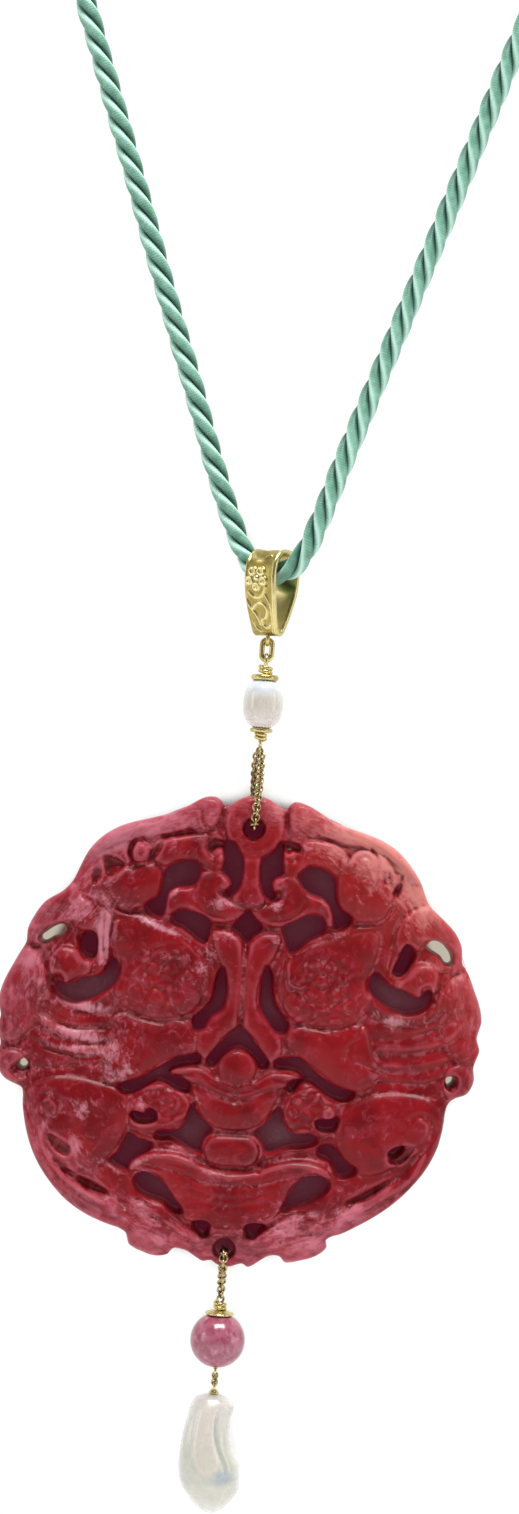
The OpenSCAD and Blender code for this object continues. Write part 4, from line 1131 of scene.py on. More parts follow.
# %% Stone: raised forms
BOTH_FORMS = [
    # height, softness, outlines on the right half, mirrored for the left
    (1, 1.3, [(5, -15.6), (2.3, -15.5), (0.5, -17), (0.3, -29.3), (2.4, -31.3), (4.6, -34.5), (6.3, -33),
     (6.2, -30.6), (5, -28.8), (2.6, -26.5), (2.7, -22), (4.2, -19.3)]),
    (0.85, 1.2, [(9.8, -36.3), (5, -35.5), (3, -36.8), (0, -37.9), (0, -39.7), (3.5, -39), (7, -37.7)]),
    (0.75, 1.4, [(14.2, -61.3), (11, -62.8), (8, -62.4), (5, -62), (3.4, -60.6), (6.5, -58), (9.5, -56),
     (13, -55.5), (15.8, -58.5)]),
]
FORMS = [
    # height, softness, outlines
    (0.72, 1.7, [(0, 4.3), (2.9, 3.3), (4.3, 1), (4.2, -1.8), (2.6, -4), (0, -4.9), (-2.6, -4),
     (-4.2, -1.8), (-4.3, 1), (-2.9, 3.3)]),
    (0.9, 1.1, [(-1.2, -4.4), (1.3, -4.4), (1.5, -8.5), (2.5, -11.2), (0, -12.5), (-2.5, -11.2),
     (-1.6, -8.5)]),
    (1.1, 2.4, [(0, -32.4), (2, -33.2), (2.9, -35.1), (2.3, -37.2), (0, -38), (-2.3, -37.2), (-2.9, -35.1),
     (-2, -33.2)]),
    (1, 2.6, [(-6.4, -38.2), (0, -39.6), (6.4, -38), (5.5, -41), (3.7, -43.4), (0, -44.4), (-3.7, -43.6),
     (-5.4, -41.3)]),
    (1, 1.8, [(-4.1, -47.3), (-3.2, -45.5), (0, -45), (3.3, -45.4), (4.2, -47.2), (3.2, -49.2), (0, -49.6),
     (-3.2, -49.2)]),
    (0.95, 1.6, [(-14.8, -51), (-13, -48.8), (-10, -47.9), (-7, -48.3), (-3, -49.7), (0, -50.1), (4, -49.7),
     (7, -48.4), (10, -47.8), (13.5, -48.5), (14.9, -50.3), (12, -50.3), (9.6, -51.5), (8.2, -54.5),
     (6.2, -57.7), (-6, -57.8), (-8.6, -54), (-10, -51.9), (-12.6, -51.2)]),
    (0.85, 2.2, [(-4.9, 3), (-7.3, 3.8), (-12.5, 0.9), (-17, -0.4), (-22, -3), (-24.4, -6.5), (-22, -5.2),
     (-19, -3.6), (-13, -2.3), (-9, -1.4), (-6.1, -1), (-5.1, 0.5)]),
    (0.8, 1.2, [(-13.2, -2.9), (-9, -1.9), (-6.4, -1.8), (-6.9, -3.6), (-5.7, -5), (-4, -4.7), (-3.8, -6.6),
     (-5.5, -7.3), (-8, -6), (-10.5, -6), (-12.6, -6.9), (-14.6, -5.6), (-14.4, -3.8)], [(13.4, -3),
     (9, -1.5), (7.2, -1.9), (7.3, -3.4), (6, -5), (4.4, -4.6), (4.4, -6.6), (6.8, -7.2), (8.4, -5.5),
     (10.4, -5.5), (12.4, -6.6), (14.2, -5.6)]),
    (1.15, 3.4, [(-20.9, -9.5), (-19.6, -7), (-17.3, -7.4), (-14.8, -6.2), (-12.4, -8.2), (-12.5, -10.6),
     (-14.5, -12.7), (-17.5, -13.2), (-20, -12)], [(20.9, -9.5), (21, -6), (18.6, -2.9), (15.5, -2.6),
     (13.3, -5), (12.4, -8.2), (13, -10.8), (15, -12.6), (18, -13), (20, -12)]),
    (1.05, 1, [(-17.4, -4.9), (-16.5, -3.6), (-15.1, -3.9), (-14.7, -5.4), (-15.6, -6.6), (-17, -6.3)]),
    (0.95, 1.2, [(-7.5, -7.3), (-5.3, -6.9), (-3.2, -8), (-2.4, -9.4), (-3.2, -10.8), (-2, -11.6),
     (0, -12.7), (-1, -13.6), (-3, -14.4), (-5.5, -14.4), (-8, -13.2), (-9.6, -13), (-11, -13.9),
     (-12.3, -13.6), (-12.4, -11.5), (-11, -9.9), (-8.3, -9.2)], [(7.2, -7.2), (5, -7), (3.3, -7.8),
     (3, -9), (3.6, -10.8), (2, -11.6), (0, -12.7), (1, -13.7), (3, -14.4), (5.4, -14.5), (8.4, -12.7),
     (10.4, -12.5), (11.5, -13.9), (12.8, -13.8), (12.6, -12), (11, -10), (8.7, -9.1)]),
    (0.8, 1.6, [(-25.6, -10.3), (-30.8, -15), (-31.8, -18.6), (-29.6, -19.3), (-28.6, -16.8),
     (-26.3, -15.8), (-24, -16.9), (-22, -16.6), (-22.3, -13.5), (-24.3, -11.5)]),
    (1.05, 1.5, [(-28.4, -21.8), (-27.5, -19.7), (-24.8, -19.4), (-23.1, -20.9), (-22, -21.4), (-22.1, -23),
     (-24.3, -24.2), (-26.1, -24.8), (-27.7, -23.7)], [(28.6, -21), (27.6, -18.6), (25.2, -18.2),
     (23.4, -20), (22, -20.8), (21.6, -21.9), (24.4, -23), (26, -23.4), (27.6, -22.4)]),
    (0.9, 2.2, [(-31.3, -19.8), (-33.9, -23), (-35.1, -27), (-35.2, -31.7), (-33, -34), (-30, -31.5),
     (-28.8, -28), (-28.2, -24.6), (-29.5, -21.5)], [(31.4, -19.4), (33.8, -22.5), (35, -26.5), (35, -31),
     (32.8, -32.8), (30, -30), (28.6, -26.5), (28, -23.4), (29.6, -20.6)]),
    (1, 3.2, [(-19.2, -15), (-15, -14.9), (-11, -15.9), (-7.6, -18), (-5.6, -20.4), (-5.4, -25),
     (-8.2, -28.4), (-12, -29), (-16, -28.2), (-18.8, -25.6), (-17.9, -21.5), (-18.9, -19)], [(19.2, -14.4),
     (14.5, -15), (10.4, -16.6), (7.2, -18.6), (5.2, -20.6), (5.3, -25), (8, -28), (12, -28.6), (16, -28),
     (18.6, -25.2), (17.8, -21.5), (18.9, -18.6)]),
    (0.85, 2.4, [(-18.4, -28.6), (-12, -29.6), (-8, -28.9), (-6.2, -31), (-6.5, -33.3), (-10.5, -34.9),
     (-16, -38.7), (-19, -38.8), (-19.2, -33)]),
    (0.8, 1.4, [(-15, -40.4), (-12.6, -38.5), (-9.5, -38.1), (-7.2, -39.4), (-6.3, -41), (-6.9, -43.2),
     (-9, -45), (-12.8, -45.5), (-15, -44.3)], [(15, -40), (13, -38.3), (11.2, -37.2), (9.2, -37.6),
     (7.6, -39.4), (7, -41), (7.9, -43.4), (10, -44.8), (13, -44.4), (15, -42.8)]),
    (1, 3.4, [(-30.4, -40.5), (-26, -38.2), (-20, -38.7), (-15.4, -40.4), (-15.1, -43), (-15.8, -46.3),
     (-17.5, -49.2), (-21, -51.7), (-25, -51.2), (-28.2, -48), (-29.9, -44.5)]),
    (0.9, 1.3, [(-34.9, -36.2), (-33.4, -34.8), (-31.3, -35), (-30.2, -37), (-30.9, -39.4), (-33.3, -39.2),
     (-34.7, -37.7)], [(34.4, -34.4), (33.2, -32.4), (30.6, -32.9), (29.9, -35), (30.6, -37.6),
     (33, -37.3)]),
    (0.85, 1.6, [(-30.7, -42.5), (-29.6, -47.5), (-26.6, -52.7), (-22, -56.8), (-16, -59.4), (-12.6, -58.6),
     (-17, -55.4), (-22, -53.2), (-25.7, -50), (-27.6, -46)], [(30.4, -41.5), (29.6, -46), (27, -50.8),
     (22.8, -55), (16, -59), (12.6, -58.4), (17, -55), (22, -51.6), (25.7, -48.4), (28, -44.6)]),
    (0.9, 2.6, [(5, 2.6), (6.8, 3.8), (11.5, 1.4), (18, -0.6), (23, -4.1), (25.4, -7.6), (22.5, -5.5),
     (19, -3), (14.5, -2), (9.5, -1), (6.4, -1.1), (5.1, 0.4)]),
    (0.8, 1.8, [(26.1, -10), (30.6, -14), (31.4, -18.6), (30, -19.8), (30, -17), (28.2, -15), (26, -15.6),
     (24.2, -17), (22, -16.8), (22, -12.5), (24, -10.6)]),
    (0.95, 2.8, [(18.2, -28), (12, -29), (8.2, -28.6), (6.6, -30.6), (8, -32.6), (11.5, -34.7),
     (15.6, -37.4), (19, -37.2), (20.6, -35.2), (19.4, -31.4)]),
    (1.05, 3.6, [(15, -41.4), (18.4, -38.4), (24, -37.2), (29.9, -38.8), (30.3, -42), (28.2, -45.6),
     (25.4, -46.4), (22.6, -48.8), (19, -49.6), (16, -47.3), (14.8, -44)]),
]


def mirrored(table):
    """The same lines on the other side."""
    return [(*sizes, [(-x, z) for x, z in line]) for *sizes, line in each(table)]


def each(table):
    """One row for each line of a table, behind its two sizes."""
    return [(first, second, line) for first, second, *lines in table for line in lines]


print(len(each(BOTH_FORMS)), "outlines for both halves,", len(each(FORMS)), "for one")

# %% [markdown]
# Over the forms run ridges and cut lines: feathers, curls, the birds' eyes, the folds of the lotus. A
# height above nought is a ridge, and one below it is a groove.

# %% Stone: ridges and grooves
BOTH_LINES = [
    # height, width, lines on the right half, mirrored for the left
    (-0.32, 0.8, [(0.25, -17), (0.2, -20), (0.2, -25), (0.2, -29.2)]),
    (-0.18, 0.5, [(1.2, -0.6), (2.2, 0.9), (2.6, -0.6), (2.2, -2.1), (1, -2.9)], [(7.6, -38), (3.6, -39.5),
     (0, -40.2)], [(12, -61), (8, -60), (4.2, -60.8)], [(13.6, -59), (9.4, -57.6), (5.8, -59)]),
    (-0.25, 0.6, [(9, -37), (5, -36.6), (3, -37.8), (0, -38.9)]),
    (-0.29, 0.7, [(12.5, -50), (8, -50.8), (4, -52), (0, -52.4)]),
    (0.25, 0.9, [(14, -49.4), (10, -48.7), (7, -49.2), (4, -50.5), (0, -51.1)]),
    (-0.22, 0.6, [(5.5, -57.9), (2.8, -58.2), (0, -58.2)]),
]
LINES = [
    # height, width, lines
    (-0.4, 0.9, [(-13, -2.5), (-11, -2.1), (-9.2, -1.4)]),
    (-0.25, 0.6, [(-7.6, 1.5), (-7.2, 0), (-6, -0.9), (-5, -0.1)], [(-24.8, -11.6), (-26.2, -14),
     (-29, -15)], [(-31.4, -19.7), (-29, -20), (-28.6, -22), (-28.1, -24.4), (-27.4, -26)], [(-14.7, -40.6),
     (-13, -39.4), (-11.6, -40.2), (-10.8, -39.1), (-9, -39.2), (-8, -40.4)], [(-15, -45.2), (-12, -44.9),
     (-9, -44.4), (-7.4, -43.4)], [(-12, -47.4), (-9, -46.9), (-6, -48.2), (-4, -49.3)], [(21, -10.6),
     (19.4, -12.8), (16, -13.4)], [(22.2, -11.6), (21.2, -14.4), (20.9, -17.6), (20.6, -20.6)],
     [(31, -19.4), (28.8, -19.4), (28.2, -21.4), (28, -23.4), (26.8, -25.4)], [(19.6, -29.7), (24, -29.5),
     (28, -28), (31, -25.4)], [(19.8, -32.2), (25, -31.8), (29.5, -30.4), (32.4, -28.2)], [(17, -33.2),
     (21, -34.4), (27, -34.1), (31.6, -32.2)], [(26.6, -46.4), (25.6, -48.6), (22, -51), (17.6, -54.2)],
     [(12, -47.4), (9, -47), (6, -48.2), (4.2, -49.3)]),
    (-0.32, 0.8, [(-4.9, 3), (-4.5, 1.4), (-4.5, -0.6), (-3.9, -2.4)]),
    (0.3, 0.9, [(-7.4, -7.6), (-5, -7.2), (-3.2, -8.1), (-2.8, -9.2)], [(7.2, -7.5), (5, -7.2), (3.6, -8),
     (3.6, -9.2)]),
    (0.3, 0.8, [(-10.6, -10.2), (-11.8, -11.8), (-11.6, -13.4)], [(-28, -45.6), (-27, -49), (-25, -51.8),
     (-22, -54.2), (-18, -56)], [(10.6, -10.2), (12, -11.8), (12, -13.4)], [(28, -46), (26.4, -49.6),
     (22, -52.4), (17.6, -55.6)]),
    (-0.22, 0.6, [(-8, -9.4), (-8, -11), (-6.2, -12.9), (-3.4, -13.6)], [(-34.6, -30.4), (-32.6, -30.8),
     (-31.2, -29.4)], [(-34.8, -33.6), (-32.4, -33.8), (-30.6, -32.4)], [(-18, -30), (-17, -33),
     (-17.6, -36)], [(-26.4, -40.9), (-25.2, -42.4), (-25.6, -44), (-27, -44.3), (-28, -42.6),
     (-27.4, -40.9), (-26, -40.2)], [(6.4, -0.4), (9, -0.6), (13, -2), (16, -1.9)], [(8, -9.4), (8, -11),
     (6.2, -12.9), (3.4, -13.6)], [(17.6, -29.4), (16, -31), (15.4, -33.4)], [(25.6, -41.6), (27, -40.4),
     (28.6, -41.4), (28, -43.6), (26, -44.8), (24.4, -44.8)]),
    (-0.32, 0.7, [(-20.9, -11.3), (-19.6, -12.9), (-17, -13.8), (-15.2, -13.4)]),
    (0.35, 0.9, [(-20.6, -12.3), (-18.8, -14), (-16, -14.6), (-12, -15.4), (-8.6, -16.6)]),
    (-0.29, 0.7, [(-22.2, -11.4), (-21.4, -12.9), (-19.6, -14.4)], [(-30, -37.4), (-25, -36.9),
     (-22, -36.4), (-19, -36)], [(-27.4, -45), (-26.4, -48.4), (-24.5, -51), (-21.6, -53.4), (-18, -55.2)],
     [(4, -9.6), (4.9, -9), (4.9, -10.2)]),
    (0.3, 1, [(-24, -12.8), (-25, -15), (-27, -15.8), (-30.6, -16.9)], [(-29, -30.2), (-24, -32.3),
     (-18.6, -31.8)], [(20.6, -12), (18, -13.8), (15, -14.6), (11, -15.6), (8.4, -16.8)], [(19, -24.6),
     (21.4, -26), (24.6, -26.4), (27.6, -25)]),
    (0.3, 0.7, [(-21.3, -14.6), (-21.4, -18), (-20.9, -21.6)], [(-20.1, -14.6), (-20.2, -18),
     (-19.9, -20.6)], [(14.5, -4.6), (15.2, -3), (17, -2.9), (17.8, -4.4), (16.8, -5.9), (15.2, -5.8)]),
    (0.25, 0.6, [(-19, -15.2), (-19.1, -18), (-18.8, -20.4)]),
    (-0.25, 0.5, [(-20.7, -14.4), (-20.8, -18), (-20.4, -21)], [(-19.5, -14.8), (-19.7, -18),
     (-19.4, -20.4)], [(-13, -55.3), (-9.6, -56.7), (-6, -58.8), (-3.4, -60.2)], [(15.2, -4.6),
     (15.8, -3.6), (16.9, -3.8), (17, -5), (16, -5.4)], [(19, -5.6), (20.2, -8.8), (21.8, -7.4),
     (22, -5.8)], [(8.4, -55.8), (11, -56), (13.6, -57), (15.6, -56.4)], [(6.4, -57.6), (9.4, -58.6),
     (12.4, -58.8), (14.8, -58)]),
    (0.35, 1, [(-26.9, -26.2), (-24.6, -27.7), (-21.6, -27.3), (-19.4, -25.9)]),
    (-0.36, 0.6, [(-26, -27.4), (-23.6, -28.7), (-21.4, -28.9), (-18.6, -28.5)]),
    (-0.29, 0.6, [(-18.6, -28.2), (-17.9, -26.6), (-16.6, -26)], [(-28.5, -29.2), (-24.5, -31.1),
     (-20.5, -31), (-18.6, -30.6)], [(-28.6, -31.6), (-24, -33.2), (-18.8, -32.9)], [(-28, -34.4),
     (-23, -35.4), (-19, -35)], [(17.4, -2.2), (18.2, -4), (18.1, -6.4), (17.6, -8)], [(19, -27),
     (22, -27.8), (26, -27.4), (29.4, -25)], [(19.6, -35.8), (24, -35.9), (28, -35.6), (30, -34.4)]),
    (0.28, 1, [(-28.2, -33), (-23, -34.3), (-19, -34)]),
    (-0.22, 0.5, [(-13.4, -20.6), (-12.2, -19.2), (-10, -18.6), (-8, -19.6), (-7.4, -21.6), (-8.8, -23)],
     [(-12.2, -21.6), (-10.8, -20.4), (-9.4, -20.6), (-9.2, -21.8), (-10.2, -22.4)], [(-14.4, -22),
     (-13.6, -24), (-11, -25), (-9.6, -27.6)], [(-24, -55.2), (-20, -57), (-16, -58.2), (-12.6, -57.6)],
     [(-14, -56.6), (-10, -58), (-7, -60), (-4.4, -61.2)], [(-7.4, -41), (-8.4, -42.6), (-10.2, -42.6),
     (-10.8, -41.4), (-9.8, -40.6)], [(20, -5.4), (20.4, -7), (21.2, -8)], [(7.8, -21.6), (8.6, -19.8),
     (10.6, -19), (13, -19.6), (14.4, -21.2), (13.6, -23)], [(9.4, -22.4), (10.4, -21), (12, -21),
     (12.4, -22.4), (11.2, -23)], [(8, -23.8), (9.6, -25.2), (12.4, -25.4), (15, -24.4)], [(12, -37.8),
     (10.8, -39), (9, -38.6), (8.2, -40), (9, -41.6)], [(12.2, -39.4), (13.6, -40.4), (14, -41.6),
     (12.8, -41.8), (12.4, -40.8)], [(8.6, -43.6), (10.6, -43), (12.6, -44)]),
    (-0.18, 0.5, [(-15, -30.6), (-13.8, -33), (-14.4, -35.6)]),
    (-0.5, 0.8, [(5, 2.6), (4.7, 1), (5, -0.8), (5.2, -2)]),
    (0.25, 0.8, [(23.4, -12), (24.6, -14.4), (27, -14.6), (29.6, -15.4)]),
    (0.22, 0.9, [(20, -31), (25, -30.6), (30, -29), (32.2, -26.6)], [(20, -33.3), (25, -33), (30, -31.6)]),
    (-0.36, 0.8, [(23, -50.4), (20, -51.8), (17.2, -53.8)]),
    (-0.43, 0.5, [(4.4, -48.6), (4.2, -50)]),
    (0.22, 0.45, [(-16, -22.6), (-15, -21.4), (-13.4, -20), (-12.2, -19.1), (-10.8, -18.7), (-9.6, -19)],
     [(6.3, -18.6), (6.5, -20.8), (7, -22.6), (8.2, -22.9), (9.2, -22.5)], [(-28.6, -43.6), (-28, -42.2),
     (-26.9, -41.7), (-26, -42.4), (-25.8, -43.6)], [(25.8, -41.7), (26.6, -40.9), (27.6, -41.2),
     (28, -42.6), (27.2, -44.2), (25.8, -44.7)]),
    (-0.18, 0.4, [(-16.6, -21.6), (-14.6, -19.8), (-12.6, -18.4), (-10.6, -18), (-8.6, -18.4),
     (-7.2, -19.8)], [(5.8, -19.2), (6, -21.4), (6.6, -23.4), (8.4, -23.8)], [(19, -5.8), (20.3, -5.4),
     (21.8, -5.6), (19.9, -8.6), (19.1, -6.8)], [(20.4, -8.2), (21.4, -8.9), (22, -7.2)], [(22.6, -6.4),
     (23.6, -7.4), (23.2, -9), (24.2, -10.6), (23.4, -12.4)], [(-26.4, -11.8), (-27.4, -13.6),
     (-29.6, -15.6)], [(-33.6, -22.4), (-32, -23.4), (-30, -22.4), (-29.2, -23.6)], [(26.6, -12.4),
     (28.4, -14.2), (30.4, -17)]),
    (-0.24, 0.45, [(-10.4, -27.2), (-9.2, -28.3), (-7.8, -28.6), (-6.2, -27.8), (-5.6, -26.4)],
     [(5.6, -26.2), (6.6, -27.8), (8.2, -28.4), (9.8, -27.8), (10.8, -26.8)]),
    (-0.2, 0.4, [(-7.8, 1.6), (-7.5, 0.2), (-6.6, -0.9), (-5.6, -1.1), (-5, -0.5)], [(14, -4.6),
     (14.5, -3.2), (16, -2.4), (17.4, -3), (18, -4.6), (17.2, -6), (15.6, -6.2), (14.4, -5.6)], [(17, -2.2),
     (18.3, -3.6), (18.3, -6), (17.9, -8.4)], [(-21.2, -11.9), (-19.8, -13.3), (-17.4, -13.9),
     (-15.4, -13.9), (-13.2, -15.5), (-11, -16)], [(-10.6, -16), (-8.6, -17.2), (-7, -18.8)]),
    (0.2, 0.4, [(-8.2, 1.2), (-7.8, -0.2), (-6.8, -1.4), (-5.4, -1.6)], [(-23.6, -12.8), (-24.6, -14.4),
     (-26.4, -15.6), (-28.4, -16.3)], [(-14.6, -40), (-13.2, -39.3), (-12, -38.9), (-10.8, -38.7),
     (-9.8, -39.4), (-8, -39.3), (-6.8, -40.4)], [(8.2, -38.7), (9.4, -38.5), (10.2, -38.5), (10.4, -37.9),
     (11.4, -37.5), (12.3, -38.1), (13, -39), (14.8, -39.2)]),
    (-0.14, 0.35, [(-8.6, 2.2), (-12, 0.4), (-16, -0.8), (-20, -2.4)], [(-9, 1.4), (-12.4, -0.4),
     (-16, -1.6), (-19, -2.8)], [(7, 2.6), (11, 0.8), (15, -0.6), (19, -1.8), (22.4, -4)], [(8, 1.4),
     (12, -0.2), (16, -1.2), (19.4, -2.6)]),
    (-0.2, 0.45, [(-28.2, -40.9), (-26.4, -40.8), (-25, -41.8), (-24.8, -43.6)], [(25.2, -41),
     (26.6, -40.1), (28.2, -40.4), (28.9, -41.8), (28.5, -43.8)]),
    (-0.16, 0.35, [(-28.6, -46.4), (-26.2, -51), (-22, -54.8), (-16.6, -57.6)], [(28.4, -45.6), (26, -50.2),
     (21.8, -54.2), (16.4, -57.2)], [(-12, -55.8), (-10.6, -57.6), (-9.6, -60), (-8.6, -62)], [(-11, -55.6),
     (-8.4, -57.2), (-6, -59.6)], [(5.2, -47.8), (4.8, -48.8), (4.2, -50)], [(18, -25.6), (20.6, -26.9),
     (24.6, -27.2)], [(28, -28.6), (30.4, -27), (32, -24.6)], [(29, -31.2), (31.6, -29.6), (33.6, -27)],
     [(-33.2, -26), (-34.2, -28.6), (-34, -31.4)]),
    (0.15, 0.4, [(-10.6, -48.8), (-8, -48.3), (-5.4, -49.2)]),
    (-0.12, 0.35, [(-9.6, -49.6), (-6, -50), (-2, -51.2)], [(9.6, -49.4), (6, -50), (2, -51.2)]),
]

# %% [markdown]
# The deepest cuts are pockets with steep walls, where the wheel went in beside a curl or an eye.

# %% Stone: pockets
POCKETS = [
    # depth, softness, outlines
    (1.1, 0.7, [(-6.5, -2.7), (-5, -2.3), (-3.8, -2.8), (-4, -3.9), (-5.2, -3.9), (-5.9, -4.7),
     (-6.6, -3.9)], [(4.2, -2.2), (5.6, -1.9), (7.1, -2.6), (6.9, -3.6), (5.9, -3.5), (5.3, -3.9),
     (4.5, -3.2)], [(22.8, -46), (24.6, -44.9), (26.4, -45), (25.6, -46.6), (24.2, -47.6), (22.9, -47.4)]),
    (0.9, 0.6, [(-4.7, -9.6), (-3.4, -9.5), (-2.3, -9.8), (-2.6, -10.7), (-4.2, -10.5)], [(-17.8, -3.9),
     (-16.9, -3.1), (-17.2, -5.4), (-16.9, -7), (-17.8, -6.2)], [(-22.2, -52.6), (-19.8, -53),
     (-17.3, -54.7), (-19.4, -54.8), (-21.6, -53.8)], [(22.9, -50.4), (20.4, -51.6), (17.3, -53.8),
     (19.6, -53.4), (22, -51.8)], [(-14.8, -42.3), (-13, -43.3), (-11.4, -42.4), (-11.2, -43.6),
     (-12.6, -44.4), (-14.4, -43.9)]),
    (0.8, 0.6, [(3.2, -9.2), (4.2, -9), (4.9, -9.8), (4.2, -10.8), (3.2, -10.7)], [(-22.9, -8), (-22, -7.4),
     (-21.6, -9.2), (-22.6, -10.4)], [(12, -41.9), (13.6, -42.2), (15, -41.4), (15, -43), (13.4, -43.6),
     (12, -43)]),
    (0.8, 0.5, [(-14.3, -4), (-13, -3.4), (-13.4, -5), (-14.3, -6.2), (-15, -6.8)]),
    (1, 0.7, [(-21.6, -5.8), (-19.6, -6), (-18.3, -7.2), (-19.2, -8.4), (-20.7, -8.9), (-21.4, -7.4)],
     [(-26.6, -46.6), (-24.6, -47.3), (-23.1, -48.3), (-23.3, -49.5), (-25, -49.4), (-26.2, -48.2)]),
    (0.6, 0.5, [(19, -6), (20.3, -5.8), (20.3, -8.6), (19.4, -7.6)], [(20.6, -8.4), (21.8, -6.8),
     (22.1, -7.8), (21.2, -9)]),
    (1, 0.6, [(-27.6, -23.6), (-26.7, -23.2), (-25.8, -24.3), (-26.4, -25.1), (-27.4, -24.9)], [(26, -21.6),
     (27, -21.4), (27.6, -22.6), (26.8, -24), (25.9, -23.2)]),
    (0.7, 0.7, [(-24.5, -17.4), (-23.2, -17), (-21.5, -17.2), (-21.3, -19.5), (-21.8, -21.4),
     (-23.4, -21.1), (-24.3, -19.4)], [(23.3, -15.6), (25, -16.6), (24.4, -18.4), (23.8, -19.8),
     (22.8, -21), (21.5, -20.4), (22, -18)]),
    (0.9, 0.8, [(-33, -37.8), (-31.4, -36.2), (-30.2, -36.6), (-30.1, -38.6), (-31.4, -39.2)]),
    (0.9, 0.7, [(30.2, -34.4), (31.8, -34.2), (32.2, -35.4), (31.2, -36.6), (30.3, -36.2)]),
    (0.7, 0.5, [(-4.2, -58.2), (-2.4, -58.3), (-2.2, -60), (-3.4, -60.2)], [(2.6, -58.2), (4.6, -58.2),
     (4, -60), (2.8, -59.8)]),
]
COMBS = [
    # depth, pitch, half width, guide line: fine cuts side by side along the guide
    (0.10, 0.95, 1.9, [(-5.6, 2.4), (-12, 0.2), (-18, -1.6), (-22.4, -5)]),
    (0.10, 1.0, 2.2, [(5.8, 2.4), (12, 0.2), (18, -2), (23.4, -6)]),
    (0.26, 0.9, 1.6, [(-20.4, -14.6), (-20.6, -18), (-20.2, -21.4)]),
    (0.16, 1.3, 3.6, [(-31, -30), (-25, -32.4), (-19.6, -32)]),
    (0.14, 1.3, 4.0, [(19.8, -31.6), (26, -31.2), (31, -29), (33, -26)]),
    (0.14, 0.95, 1.6, [(-29.2, -45), (-27, -50), (-22.4, -54.4), (-15.6, -57.6)]),
    (0.14, 0.95, 1.6, [(29.2, -44.4), (26.8, -49.4), (21.6, -53.8), (15, -57.2)]),
    (0.18, 0.95, 2.2, [(-13, -56.4), (-9, -58.4), (-5, -61)]),
    (0.18, 0.95, 2.4, [(14.6, -57), (10, -58), (6, -60)]),
    (0.06, 1.2, 3.0, [(-6, -51.6), (0, -53), (6, -51.6)]),
    (0.10, 1.0, 1.9, [(-33.4, -22), (-34, -27), (-33.4, -31)]),
    (0.10, 1.0, 1.9, [(33.2, -22), (33.8, -27), (33.4, -31)]),
]
PETALS = [
    # x, height, half width, half height: small scallops with a cut round each
    (-11.2, -19.9, 1.2, 0.8), (-8.9, -20.3, 1, 1), (-13.1, -21.6, 1.1, 0.9), (-13.7, -23.6, 1, 1.1),
    (-8, -22.4, 0.9, 1), (-11, -22.2, 1.2, 1.2), (-10.4, -24.7, 1, 1.1), (-12.3, -25.9, 1.3, 1.4),
    (-8, -25.8, 2.2, 2.5), (-15.4, -25.6, 1.2, 1.5), (-14.6, -20.2, 1, 0.8), (10.1, -19.5, 1.2, 0.9),
    (12.4, -19.4, 1, 0.9), (8.1, -21.7, 1.2, 0.9), (14.3, -21.3, 1, 1), (11.5, -21.9, 1.4, 1.1),
    (9.7, -24, 1, 0.9), (13.5, -23.8, 1.1, 1), (11.7, -25.6, 1.3, 0.9), (8, -25.8, 2.2, 2.4),
    (15.6, -25.2, 1.2, 1.1), (13.9, -27.5, 1.3, 0.8), (16.6, -27.8, 1, 1.1), (-13.6, -41.8, 0.9, 0.8),
    (-11.9, -40.1, 1, 0.9), (-9.7, -40.4, 1.1, 0.9), (-8, -41.4, 1, 0.9), (-10.2, -42.9, 1.4, 0.8),
    (13.7, -40.8, 1, 1), (11.4, -38.8, 1.1, 0.9), (9.2, -39.4, 0.8, 0.8), (8.6, -41, 0.9, 0.9),
    (10.6, -41.2, 1, 1), (10.3, -43.4, 1.2, 0.8),
]
NUBS = [
    # x, height of its centre, radius, rise: the rounded ends of curls
    (-4.6, -4.5, 0.95, 0.5), (5.4, -4.3, 0.95, 0.5), (-3.4, -8.7, 0.9, 0.35), (4.2, -8.4, 0.9, 0.35),
    (-16.2, -4.9, 1.2, 0.4), (16.2, -4.6, 1.1, 0.45), (-13.4, -41.9, 1, 0.5), (13.6, -41, 1, 0.45),
    (-25.2, -21.8, 1.7, 0.3), (25.4, -20.6, 1.7, 0.3), (-6.9, 0.1, 1, 0.3),
]


def comb(x, z, depth, pitch, half_width, guide):
    """Fine grooves beside a guide line: a wave of the distance in pitches, squared to a narrow cut, and
    faded out towards the half width and the guide's ends."""
    line = smooth_line(guide, 8)
    cut = np.zeros(x.shape)
    mask = near_box(x, z, line, half_width)
    distance, foot_x, foot_z = nearest_on(x[mask], z[mask], line)
    narrow = (0.5 - 0.5 * np.cos(2 * np.pi * distance / pitch + np.pi)) ** 2
    from_ends = np.minimum(np.hypot(foot_x - line[0, 0], foot_z - line[0, 1]),
                           np.hypot(foot_x - line[-1, 0], foot_z - line[-1, 1]))
    fade = np.clip((half_width - distance) / 0.4, 0, 1) * np.clip(from_ends / 1.2, 0, 1)
    cut[mask] = -depth * narrow * fade
    return cut


def petal(x, z, at_x, at_z, wide, high):
    """A low dome inside an oval with a cut along its edge: the distance from the edge is the oval's own
    radius less one, times the mean of the two halves."""
    field = np.zeros(x.shape)
    mask = (np.abs(x - at_x) < wide + 0.8) & (np.abs(z - at_z) < high + 0.8)
    size = np.hypot((x[mask] - at_x) / wide, (z[mask] - at_z) / high)
    gap = (size - 1) * (wide + high) / 2
    field[mask] = 0.12 * np.clip(1 - size ** 2, 0, 1) - 0.17 * np.exp(-(gap / 0.17) ** 2)
    return field


